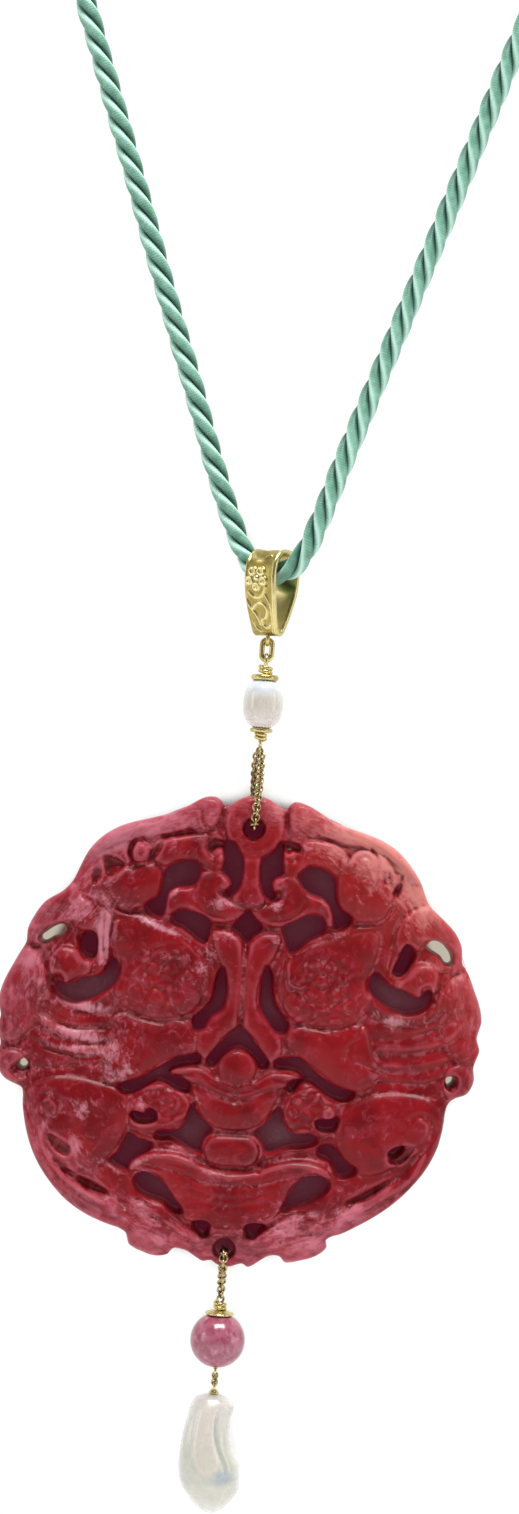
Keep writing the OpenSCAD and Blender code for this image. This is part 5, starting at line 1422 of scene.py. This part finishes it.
def carved_height():
    """Highest of the pillows, plus ridges and nubs, less grooves and pockets, over the plan's grid. Low
    waves keep the hand's unevenness, and the lands where the chains lie stay flat."""
    x, z = plan_x, plan_z
    height = np.full(x.shape, 0.05)
    for rise, soft, outline in each(BOTH_FORMS + mirrored(BOTH_FORMS) + FORMS):
        height = np.maximum(height, 0.05 + rise * pillow(depth_inside(x, z, closed_line(outline)), soft))
    for lift, width, line in each(BOTH_LINES + mirrored(BOTH_LINES) + LINES):
        height += lift * stroke(x, z, line, width)
    for at_x, at_z, size, rise in NUBS:
        height += rise * np.exp(-(np.hypot(x - at_x, z - at_z) / size) ** 4)
    for values in COMBS:
        height += comb(x, z, *values)
    scallops = [petal(x, z, *values) for values in PETALS]
    height += np.minimum.reduce(scallops) + np.maximum.reduce(scallops).clip(0)
    for depth, soft, outline in each(POCKETS):
        height -= depth * pillow(depth_inside(x, z, closed_line(outline)), soft)
    right_scales = 0.07 * (np.hypot(x - 12.6, z + 24.6) < 6.4)
    height += right_scales * np.sin(2.6 * x + 1.4 * np.sin(1.7 * z)) * np.sin(2.9 * z + 1.3 * np.sin(1.9 * x))
    left_scales = 0.05 * (np.hypot(x + 13, z + 25) < 5.6)
    height += left_scales * np.sin(2.4 * x + 1.2 * np.sin(1.9 * z)) * np.sin(2.7 * z + 1.5 * np.sin(1.7 * x))
    wave = np.sin(1.3 * x + 0.7 * z + 1.2 * np.sin(0.9 * z))
    height += 0.03 * wave * np.sin(1.1 * z - 0.5 * x + 1.2 * np.sin(0.8 * x))
    wave = np.sin(2.3 * x - 1.9 * z + 1.5 * np.sin(1.3 * z))
    height += 0.012 * wave * np.sin(2.1 * z + x + 1.4 * np.sin(1.5 * x))
    high_land = np.hypot(x, z + 0.55) < 4.4
    low_land = (np.abs(x) < 1.9) & (z < -60)
    height = np.where(high_land, np.minimum(height, 0.68), height)
    return np.clip(np.where(low_land, np.minimum(height, 0.02), height), -1.4, 1.28)


def blurred(field, width):
    """The field averaged with the bell curve's weights, along rows and then along columns."""
    reach = int(3 * width / CELL)
    weight = np.exp(-0.5 * (np.arange(-reach, reach + 1) * CELL / width) ** 2)
    weight /= weight.sum()
    for axis in (0, 1):
        padded = np.pad(field, [(reach, reach) if a == axis else (0, 0) for a in (0, 1)], mode="edge")
        size = field.shape[axis]
        field = sum(w * np.take(padded, np.arange(i, i + size), axis=axis) for i, w in enumerate(weight))
    return field


stone_height = blurred(carved_height(), 0.11)
print(f"relief from {stone_height.min():.2f} to {stone_height.max():.2f} mm over the ground")

# %% [markdown]
# The front is a sheet of triangles whose own edges follow the plan's edges, so that no opening has a
# stair in it. Rows of points close to the edges carry the rounding that the polishing left.

# %% Stone: surface
FRONT_STEP = 0.24                        # between the points of the front
EDGE_ROUND = 0.75                        # how far in the rounding of an edge reaches
ROW_DEPTHS = (0.08, 0.2, 0.34, 0.46)     # of the rows beside an edge


def sampled(field, places):
    """Value of a grid field at free places: the mean of its four neighbours, the nearer counting more."""
    u = np.clip((places[:, 0] - grid_x[0]) / CELL, 0, len(grid_x) - 1.001)
    v = np.clip((places[:, 1] - grid_z[0]) / CELL, 0, len(grid_z) - 1.001)
    k, i = u.astype(int), v.astype(int)
    s, t = u - k, v - i
    return ((field[i, k] * (1 - s) + field[i, k + 1] * s) * (1 - t)
            + (field[i + 1, k] * (1 - s) + field[i + 1, k + 1] * s) * t)


def inward():
    """Direction into the stone at each place round the plan: square to the line from the place before
    it to the one after, on the side where the distance grows."""
    along = rim[rim_next] - rim[rim_before]
    along /= np.linalg.norm(along, axis=1, keepdims=True)
    side = np.column_stack([-along[:, 1], along[:, 0]])
    grows = sampled(edge_distance, rim + 0.25 * side) > sampled(edge_distance, rim - 0.25 * side)
    return np.where(grows[:, None], side, -side)


def inner_lattice(step, least):
    """Places of a triangle lattice that lie deeper inside the plan than the least distance."""
    z = np.arange(grid_z[0], grid_z[-1], step * math.sqrt(0.75))
    x = np.arange(grid_x[0], grid_x[-1], step)
    px, pz = np.meshgrid(x, z)
    px = px + (np.arange(len(z)) % 2)[:, None] * step / 2
    places = np.column_stack([px.ravel(), pz.ravel()])
    return places[sampled(edge_distance, places) > least]


def filled(places, rim_places):
    """Triangles between all the places that keep the plan's edges, without those in the openings. Also
    gives the number that each place of the rim has got."""
    edges = list(zip(range(len(rim_places)), rim_next.tolist()))
    result = geometry.delaunay_2d_cdt(np.vstack([rim_places, places]).tolist(), edges, [], 0, 1e-6)
    points, tri = np.array([tuple(p) for p in result[0]]), np.array(result[2])
    origin = np.array([o[0] if o else -1 for o in result[3]])
    a, b, c = points[tri].transpose(1, 0, 2)
    area = (b[:, 0] - a[:, 0]) * (c[:, 1] - a[:, 1]) - (b[:, 1] - a[:, 1]) * (c[:, 0] - a[:, 0])
    tri = tri[(sampled(edge_distance, (a + b + c) / 3) > 0) & (np.abs(area) > 1e-9)]
    number = np.empty(origin.max() + 1, int)
    number[origin[origin >= 0]] = np.flatnonzero(origin >= 0)
    return points, tri, number[:len(rim_places)]


rim_inward = inward()
rows = [rim + depth * rim_inward for depth in ROW_DEPTHS]
rows = [row[sampled(edge_distance, row) > 0.8 * depth] for row, depth in zip(rows, ROW_DEPTHS)]
inner = np.vstack(rows + [inner_lattice(FRONT_STEP, ROW_DEPTHS[-1] + 0.14)])
front_plan, front_tri, front_row = filled(inner, rim)
print(f"front: {len(front_plan)} points, {len(front_tri)} triangles")

# %% [markdown]
# Pale pink runs through the red in clouds and short veins. They are listed as slanted spots, and the
# finish breaks their edges up. A negative strength keeps the red deeper.

# %% Stone: pale veins
PALE_PATCHES = [
    # x, height, half length, half width, slope in degrees, strength
    (-3.6, -11.4, 2, 0.9, -5, 1), (3.8, -11.3, 1.6, 0.8, 5, 0.7), (-20.6, -17.5, 1.4, 3.8, 0, 1.5),
    (-22.6, -27.9, 3.6, 0.9, -8, 1.1), (-24, -32, 4.6, 0.8, -12, 0.8), (-24, -34.2, 4.4, 0.6, -6, 0.7),
    (-18.4, -34.5, 2.6, 3.4, 0, 0.6), (-16.5, -37.4, 3.2, 1.2, 35, 0.6), (-26, -37.2, 4.6, 0.5, 8, 0.5),
    (-31.5, -21.8, 1.8, 1, 30, 0.8), (-16, -14.2, 4.6, 0.6, -24, 0.8), (-12, -15.8, 3.6, 0.5, -20, 0.8),
    (-2.4, -16.2, 2.2, 0.9, 0, 0.5), (4.8, -16.4, 1.6, 0.7, 0, 0.4), (-10.5, -19.8, 2.6, 0.5, 0, 0.5),
    (-21.8, -43, 1.6, 2.2, 20, 0.7), (-22.6, -48, 1, 1.3, 0, 0.9), (-27.6, -46.5, 0.6, 3.4, -20, 0.6),
    (-12, -56.8, 2.8, 1.2, -40, 0.7), (-11.6, -51.4, 1.6, 0.4, -20, 0.9), (-12, -49.2, 2.6, 0.4, 25, 0.6),
    (-9, -47.2, 3.2, 0.5, -15, 0.7), (-5.4, -48.4, 2, 0.5, -35, 0.8), (-2, -50.4, 3, 0.5, -5, 0.5),
    (8.6, -57.4, 3.2, 2.4, 30, 0.8), (12.4, -60, 2, 1, 15, 0.6), (17.6, -55.2, 2.6, 1.4, 28, 0.8),
    (22.6, -27, 3.2, 0.9, 0, 0.7), (20.4, -26.2, 2, 0.7, -20, 0.6), (27.4, -18.6, 1.8, 0.5, -20, 0.6),
    (30.8, -20, 1.4, 0.6, 20, 0.6), (9.5, -14.2, 3.6, 0.6, 20, 0.5), (12.4, -15.2, 3, 0.5, 10, 0.5),
    (11.4, -10.6, 1.6, 0.6, -50, 0.5), (-11.2, -10.4, 1.6, 0.7, 30, 0.6), (-4, -7.6, 2.2, 0.6, 0, 0.4),
    (-9.6, -39, 3, 0.5, 5, 0.5), (-13.4, -41.4, 0.9, 0.9, 0, 0.8), (7.4, -32.4, 0.9, 2.2, 25, 0.5),
    (15, -1.6, 6, 1.8, -16, 0.7), (20.5, -3.6, 2.6, 1.6, -38, 0.8), (-15, -1.4, 6.4, 1.7, 16, 0.6),
    (-20.6, -4.2, 3, 1.8, 40, 0.6), (-24, -13.6, 3, 1.4, 40, 0.5), (-13.6, -50, 1, 1, 0, 0.4),
    (24.5, -9, 1.4, 3.2, 25, 0.5), (-29.8, -24, 1.4, 3.2, 10, 0.4), (2.8, 1.8, 1.6, 1.2, -30, 0.6),
    (-5.4, -40.4, 0.6, 1.8, 10, 0.4), (-5.4, -20.3, 3.6, 1.2, 82, 0.7), (-17.6, -50.4, 2.4, 0.7, -25, 0.6),
    (-10.4, -60.6, 2.4, 0.8, -15, 0.5), (17, -2.4, 9, 4.5, -25, 0.9), (25, -9, 3, 5, 25, 0.7),
    (-17, -2.6, 9, 4, 25, 0.45), (-24, -12, 6, 6, 40, 0.25), (-30, -20, 4, 6, 0, 0.3),
    (-26, -30, 8, 5, 0, 0.2), (30, -24, 4, 6, 0, 0.2), (-22, -52, 9, 3, -38, 0.3), (0, -61, 14, 3, 0, 0.3),
    (16, -57, 8, 3, 28, 0.3), (29.4, -45, 10, 3.2, 62, -0.8), (32, -31, 3, 4, 80, -0.4),
    (-31.6, -42, 5, 1.6, 100, -0.3), (-27.5, -52, 8, 2.6, -52, -0.5),
]


def pale_veins(places):
    """Sum of slanted bell-shaped spots: the two distances are measured along and across each slope."""
    share = np.zeros(len(places))
    for at_x, at_z, long, wide, slope_degrees, strength in PALE_PATCHES:
        c, s = math.cos(math.radians(slope_degrees)), math.sin(math.radians(slope_degrees))
        dx, dz = places[:, 0] - at_x, places[:, 1] - at_z
        share += strength * np.exp(-((dx * c + dz * s) / long) ** 2 - ((dz * c - dx * s) / wide) ** 2)
    return np.clip(share, -0.8, 1.3)


# %% [markdown]
# The same plan closes the back, a little inside the edge, and bands of wall join the two. A few
# numbers go with each point for the finish: how deep it lies in a cut, how sharp the edge is there, how
# much of the pale vein it has, and how far out and how far round the disc it is.

# %% Stone: closing the sides and the back
BACK_INSET = 0.2
SIDE_DROP = 2.0       # the sides of an opening lean: this far back
SIDE_SLOPE = 0.42     # within this distance of its edge


def on_plan(plan, y):
    """Places of the plan at one depth, or each at its own."""
    return np.column_stack([plan[:, 0], y + np.zeros(len(plan)), plan[:, 1]])


def stone_mesh():
    """Front sheet, four bands of wall and the back. Each band joins a row of places round the plan to
    the next row forward. The front's height is the ground plus the relief, less the edge's rounding."""
    distance = np.clip(sampled(edge_distance, front_plan), 0, None)
    leaning = (1 - sampled(near_outline, front_plan)) * np.clip(1 - distance / SIDE_SLOPE, 0, 1)
    fall = EDGE_ROUND * (1 - pillow(distance, EDGE_ROUND)) + SIDE_DROP * leaning
    front_y = GROUND - sampled(stone_height, front_plan) + fall
    back_plan, back_tri, back_row = filled(inner_lattice(1.0, 0.6), rim + BACK_INSET * rim_inward)
    middle_y = (front_y[front_row] + STONE_BACK) / 2
    bands = [on_plan(rim, middle_y), on_plan(rim, STONE_BACK - 0.22),
             on_plan(rim + 0.07 * rim_inward, STONE_BACK - 0.06)]
    points = np.vstack([on_plan(front_plan, front_y), *bands, on_plan(back_plan, STONE_BACK)])
    total, count = len(front_plan), len(rim)
    back_start = total + 3 * count
    rows = [front_row, *(total + i * count + np.arange(count) for i in range(3)), back_start + back_row]
    walls = [np.column_stack([behind[rim_next], behind, ahead, ahead[rim_next]])
             for ahead, behind in zip(rows[:-1], rows[1:])]
    # The sides of the openings are marked, and the finish paints light on them in a brighter red.
    side = np.zeros(len(points))
    side[:total] = leaning
    side[total:back_start] = np.tile(~on_outline, 3)
    return points, [front_tri, np.vstack(walls), back_tri[:, ::-1] + back_start], side


stone_points, stone_faces, stone_side_painted_light = stone_mesh()
stone_plan = stone_points[:, [0, 2]]
is_front = np.arange(len(stone_points)) < len(front_plan)
hollow = sampled(blurred(stone_height, 0.9) - stone_height, stone_plan) * is_front
crisp = sampled(stone_height - blurred(stone_height, 0.4), stone_plan) * is_front
# The pale veins are taken out in the hollows, as part of their painted shade.
pale = pale_veins(stone_plan) - np.clip((hollow - 0.12) / 0.4, 0, 1)
from_middle = stone_plan - [0, STONE_MIDDLE]
outer = np.hypot(*(from_middle / HALF_SIZE).T)
around = 14 * np.arctan2(from_middle[:, 1], np.abs(from_middle[:, 0]))
stone_values = {"hollow": hollow, "crisp": crisp, "pale": pale, "outer": outer, "side": stone_side_painted_light,
                "around": around}

# %% [markdown]
# The stone is a deep red with pale pink clouds and veins, polished to a soft, waxy shine. The cuts and
# hollows get painted shade in a darker red, and some cuts pale wax. Light goes a little way in, most of
# all at thin edges.

# %% Stone: finish
RED_DEEP, RED = rgb(106, 8, 15), rgb(134, 15, 23)
RED_CLOUDY, RED_WARM = rgb(148, 42, 60), rgb(164, 38, 34)
VEIN_PINK, VEIN_WARM = rgb(204, 138, 152), rgb(226, 170, 146)
RIM_PINK, RIM_WARM = rgb(182, 92, 108), rgb(188, 94, 98)
WORN_AND_HIGHLIGHT_PINK, SIDE_PAINTED_LIGHT_RED = rgb(190, 98, 112), rgb(168, 22, 44)
CUT_PAINTED_SHADE_RED, CUT_PINK = rgb(104, 8, 18), rgb(196, 112, 122)


def stone_finish():
    """From the ground colour up: clouds of red, warmer towards the upper right, then veins, the paler rim,
    worn edges partly painted as highlights, cuts with pale wax and painted shade, hollows with painted shade,
    and painted light in a brighter red on the walls of the openings."""
    finish = Finish("red_stone", Coat_Weight=0.1, Coat_Roughness=0.08, Subsurface_Weight=0.35,
                    Subsurface_Scale=0.0012, Subsurface_Radius=(1.0, 0.25, 0.28), Specular_IOR_Level=0.14)
    clouds = finish.noise(6.0, detail=5, distortion=0.8)
    mottle = finish.noise(1.8, detail=6, distortion=1.0, roughness=0.62)
    outer, pale, crisp = finish.number("outer"), finish.number("pale"), finish.number("crisp")
    curved = finish.add("ShaderNodeCombineXYZ", Y=finish.number("around"),
                        X=finish.math("MULTIPLY", outer, 46))
    streaks = finish.add("ShaderNodeTexNoise", Vector=curved.outputs["Vector"], Scale=1.0, Detail=6.0,
                         Roughness=0.62, Distortion=0.9).outputs["Fac"]
    place = finish.add("ShaderNodeSeparateXYZ", Vector=finish.place()).outputs
    warm = finish.map_range(finish.math("ADD", place["X"], place["Z"]), -0.245, -0.215)
    red = finish.blend(clouds, 0.35, 0.65, RED_DEEP, RED)
    red = finish.blend(mottle, 0.48, 0.68, red, RED_CLOUDY, 0.55)
    red = finish.mix(finish.math("MULTIPLY", warm, 0.6), red, RED_WARM)
    texture = finish.math("MULTIPLY_ADD", streaks, 0.6, finish.math("MULTIPLY", mottle, 0.4))
    vein = finish.math("MULTIPLY_ADD", pale, 0.26, texture)
    veined = finish.blend(vein, 0.56, 0.86, red, finish.mix(warm, VEIN_PINK, VEIN_WARM), 0.84)
    rim_cloud = finish.math("MULTIPLY_ADD", texture, 0.7, outer)
    rim_cloud = finish.math("MULTIPLY_ADD", pale, 0.2, rim_cloud)
    veined = finish.blend(rim_cloud, 1.17, 1.46, veined, finish.mix(warm, RIM_PINK, RIM_WARM), 0.6)
    # Paler on raised crests: partly dye worn off and partly a painted highlight.
    veined = finish.blend(crisp, 0.03, 0.16, veined, WORN_AND_HIGHLIGHT_PINK, 0.3)
    # Painted shade in the cuts, broken up by pale wax.
    cut = finish.map_range(crisp, -0.14, -0.02, 0.4, 0.0)
    veined = finish.mix(cut, veined, finish.blend(mottle, 0.44, 0.56, CUT_PAINTED_SHADE_RED, CUT_PINK))
    # Painted shade in the hollows.
    veined = finish.blend(finish.number("hollow"), 0.12, 0.55, veined, CUT_PAINTED_SHADE_RED, 0.7)
    # Painted light: the sides of the openings in a brighter red, for light that goes through the stone.
    finish.colour(finish.mix(finish.number("side"), veined, SIDE_PAINTED_LIGHT_RED))
    finish.feed("Roughness", finish.map_range(mottle, 0.35, 0.7, 0.3, 0.46))
    finish.bump(finish.math("MULTIPLY_ADD", streaks, 0.5, mottle), 0.07, 0.4)
    return finish.material


make_piece("carved_stone", stone_points, stone_faces, "stone", "jade", stone_finish(), values=stone_values,
           stands_for=["jade_carving"])

# %% [markdown]
# ## Stage and light
# The pendant hangs close in front of a pale wall that gives its own even light. A shadow painted on
# the wall makes its openings look dark and runs a faint grey edge round it. The wall and the floor are
# not part of the object. Big soft lights stand above and in front, and the rest of the room is a plain
# grey, which the gold needs for its darker sides.

# %% Stage
WALL_PAINTED_SHADOW, WALL_PAINTED_HALF_SHADOW, WALL_PAINTED_LIGHT = rgb(72, 12, 28), rgb(92, 54, 62), rgb(190, 180, 164)


def seen_from_front(finish, shader, light_passes=0.0):
    """The shader in front, and nothing at all from behind, so that a stage sheet never hides the piece.
    Where light passes, the sheet casts no shadow either."""
    clear = finish.add("ShaderNodeBsdfTransparent")
    behind = finish.add("ShaderNodeNewGeometry").outputs["Backfacing"]
    shadow = finish.add("ShaderNodeLightPath").outputs["Is Shadow Ray"]
    unseen = finish.math("MAXIMUM", behind, finish.math("MULTIPLY", shadow, light_passes))
    mix = finish.add("ShaderNodeMixShader", None, (unseen, shader.outputs[0], clear.outputs[0]))
    finish.links.new(mix.outputs[0], finish.nodes["Material Output"].inputs["Surface"])
    return finish.material


def glowing_wall_with_painted_shadow():
    """A white wall that gives its own even light. Where something stands close in front of it, a shadow is
    painted on it, dark red behind the plaque's middle; beside the plaque, near its edge and beyond, painted
    light turns it pale tan."""
    finish = Finish("glowing_wall_with_painted_shadow")
    openness = finish.add("ShaderNodeAmbientOcclusion", {"samples": 24}, Distance=14 * MM).outputs["AO"]
    # Painted shadow: the more closed in a place is, the darker and redder.
    deep = finish.blend(openness, 0.1, 0.3, WALL_PAINTED_SHADOW, WALL_PAINTED_HALF_SHADOW)
    place = finish.add("ShaderNodeSeparateXYZ", Vector=finish.place()).outputs
    half_wide, half_high = (size * MM for size in HALF_SIZE)
    middle = float(placed([[0, 0, STONE_MIDDLE]])[0, 2])
    across = finish.math("MULTIPLY", place["X"], 1 / half_wide)
    up = finish.math("MULTIPLY_ADD", place["Z"], 1 / half_high, -middle / half_high)
    across2, up2 = (finish.math("MULTIPLY", value, value) for value in (across, up))
    outwards = finish.math("ADD", across2, up2)
    beside = finish.math("MULTIPLY_ADD", up2, 0.1, across2)
    beside, near_edge = finish.map_range(beside, 0.5, 0.62), finish.map_range(outwards, 0.7, 0.78)
    beyond = finish.map_range(outwards, 0.97, 1.06)
    # Painted light: pale tan beside the plaque, near its edge and beyond.
    painted_light_zone = finish.math("MAXIMUM", finish.math("MINIMUM", beside, near_edge), beyond)
    deep = finish.mix(painted_light_zone, deep, WALL_PAINTED_LIGHT)
    white = finish.blend(openness, 0.26, 0.56, deep, (1, 1, 1, 1))
    light = finish.add("ShaderNodeEmission", Color=white, Strength=1.03)
    return seen_from_front(finish, light, light_passes=1.0)


def pale_floor():
    """A plain matt floor, only seen from above."""
    finish = Finish("pale_floor", Base_Color=rgb(240, 240, 240), Roughness=0.9, Specular_IOR_Level=0.1)
    return seen_from_front(finish, finish.shader)


def stage_sheet(name, points, rows, cols, material):
    """A sheet of quads through a grid of points, facing the way its rows and columns turn."""
    mesh = bpy.data.meshes.new(name)
    mesh.from_pydata(points.tolist(), [], grid_faces(rows, cols, close_cols=False).tolist())
    mesh.update()
    mesh.materials.append(material)
    return in_scene(name, mesh)


wall_z = np.array([-300.0, 10, 14, 18, 22, 26, 30, 34, 60, 300, 900])
wall_y = 4.4 + 1.4 / (1 + np.exp(-(wall_z - 22) / 3))
wall_points = placed([(x, y, z) for y, z in zip(wall_y, wall_z) for x in (-1500, 1500)])
wall = stage_sheet("wall", wall_points, len(wall_z), 2, glowing_wall_with_painted_shadow())
floor_points = np.array([(x, y, -0.42) for y in (-1.5, 1.5) for x in (-1.5, 1.5)])
floor = stage_sheet("floor", floor_points, 2, 2, pale_floor())
print(f"wall {wall_y.min():.1f} to {wall_y.max():.1f} mm behind the chain's seat")

# %% [markdown]
# One big soft light above in front does most of the work, and the others are weak and open up the
# shadows from below, from both sides and from behind.

# %% Lights
PENDANT = (0, 0, -0.22)   # where all the lights aim


def soft_light(name, place, width, height, power):
    """A rectangle of light whose own -Z axis points at the pendant."""
    data = bpy.data.lights.new(name, "AREA")
    data.shape = "RECTANGLE"
    data.size, data.size_y = width, height
    data.energy = power
    back = np.subtract(place, PENDANT) / np.linalg.norm(np.subtract(place, PENDANT))
    side = np.cross((0, 0, 1), back)
    side /= np.linalg.norm(side)
    set_up(in_scene(name, data), side, np.cross(back, side), back, place)
    print(f"{name}: {power} W, {width} by {height} m")


soft_light("top", (0.1, -0.52, 1.14), 1.0, 0.45, 26)
soft_light("bottom", (-0.1, -0.75, -1.5), 0.9, 0.4, 6)
soft_light("left", (-1.4, -0.6, -0.1), 0.5, 1.1, 4)
soft_light("right", (1.4, -0.6, 0.0), 0.5, 1.1, 4)
soft_light("back", (0.3, 1.2, 0.5), 1.0, 0.8, 8)
world = bpy.data.worlds.new("room")
world.use_nodes = True
room = world.node_tree.nodes
room["Background"].inputs["Color"].default_value = (0.95, 0.97, 1.0, 1)
seen = room.new("ShaderNodeLightPath").outputs["Is Camera Ray"]
brightness = room.new("ShaderNodeMapRange")
brightness.inputs["To Min"].default_value = 0.26
brightness.inputs["To Max"].default_value = 0.85
world.node_tree.links.new(seen, brightness.inputs["Value"])
world.node_tree.links.new(brightness.outputs["Result"], room["Background"].inputs["Strength"])
bpy.context.scene.world = world
bpy.context.scene.view_settings.view_transform = "Standard"
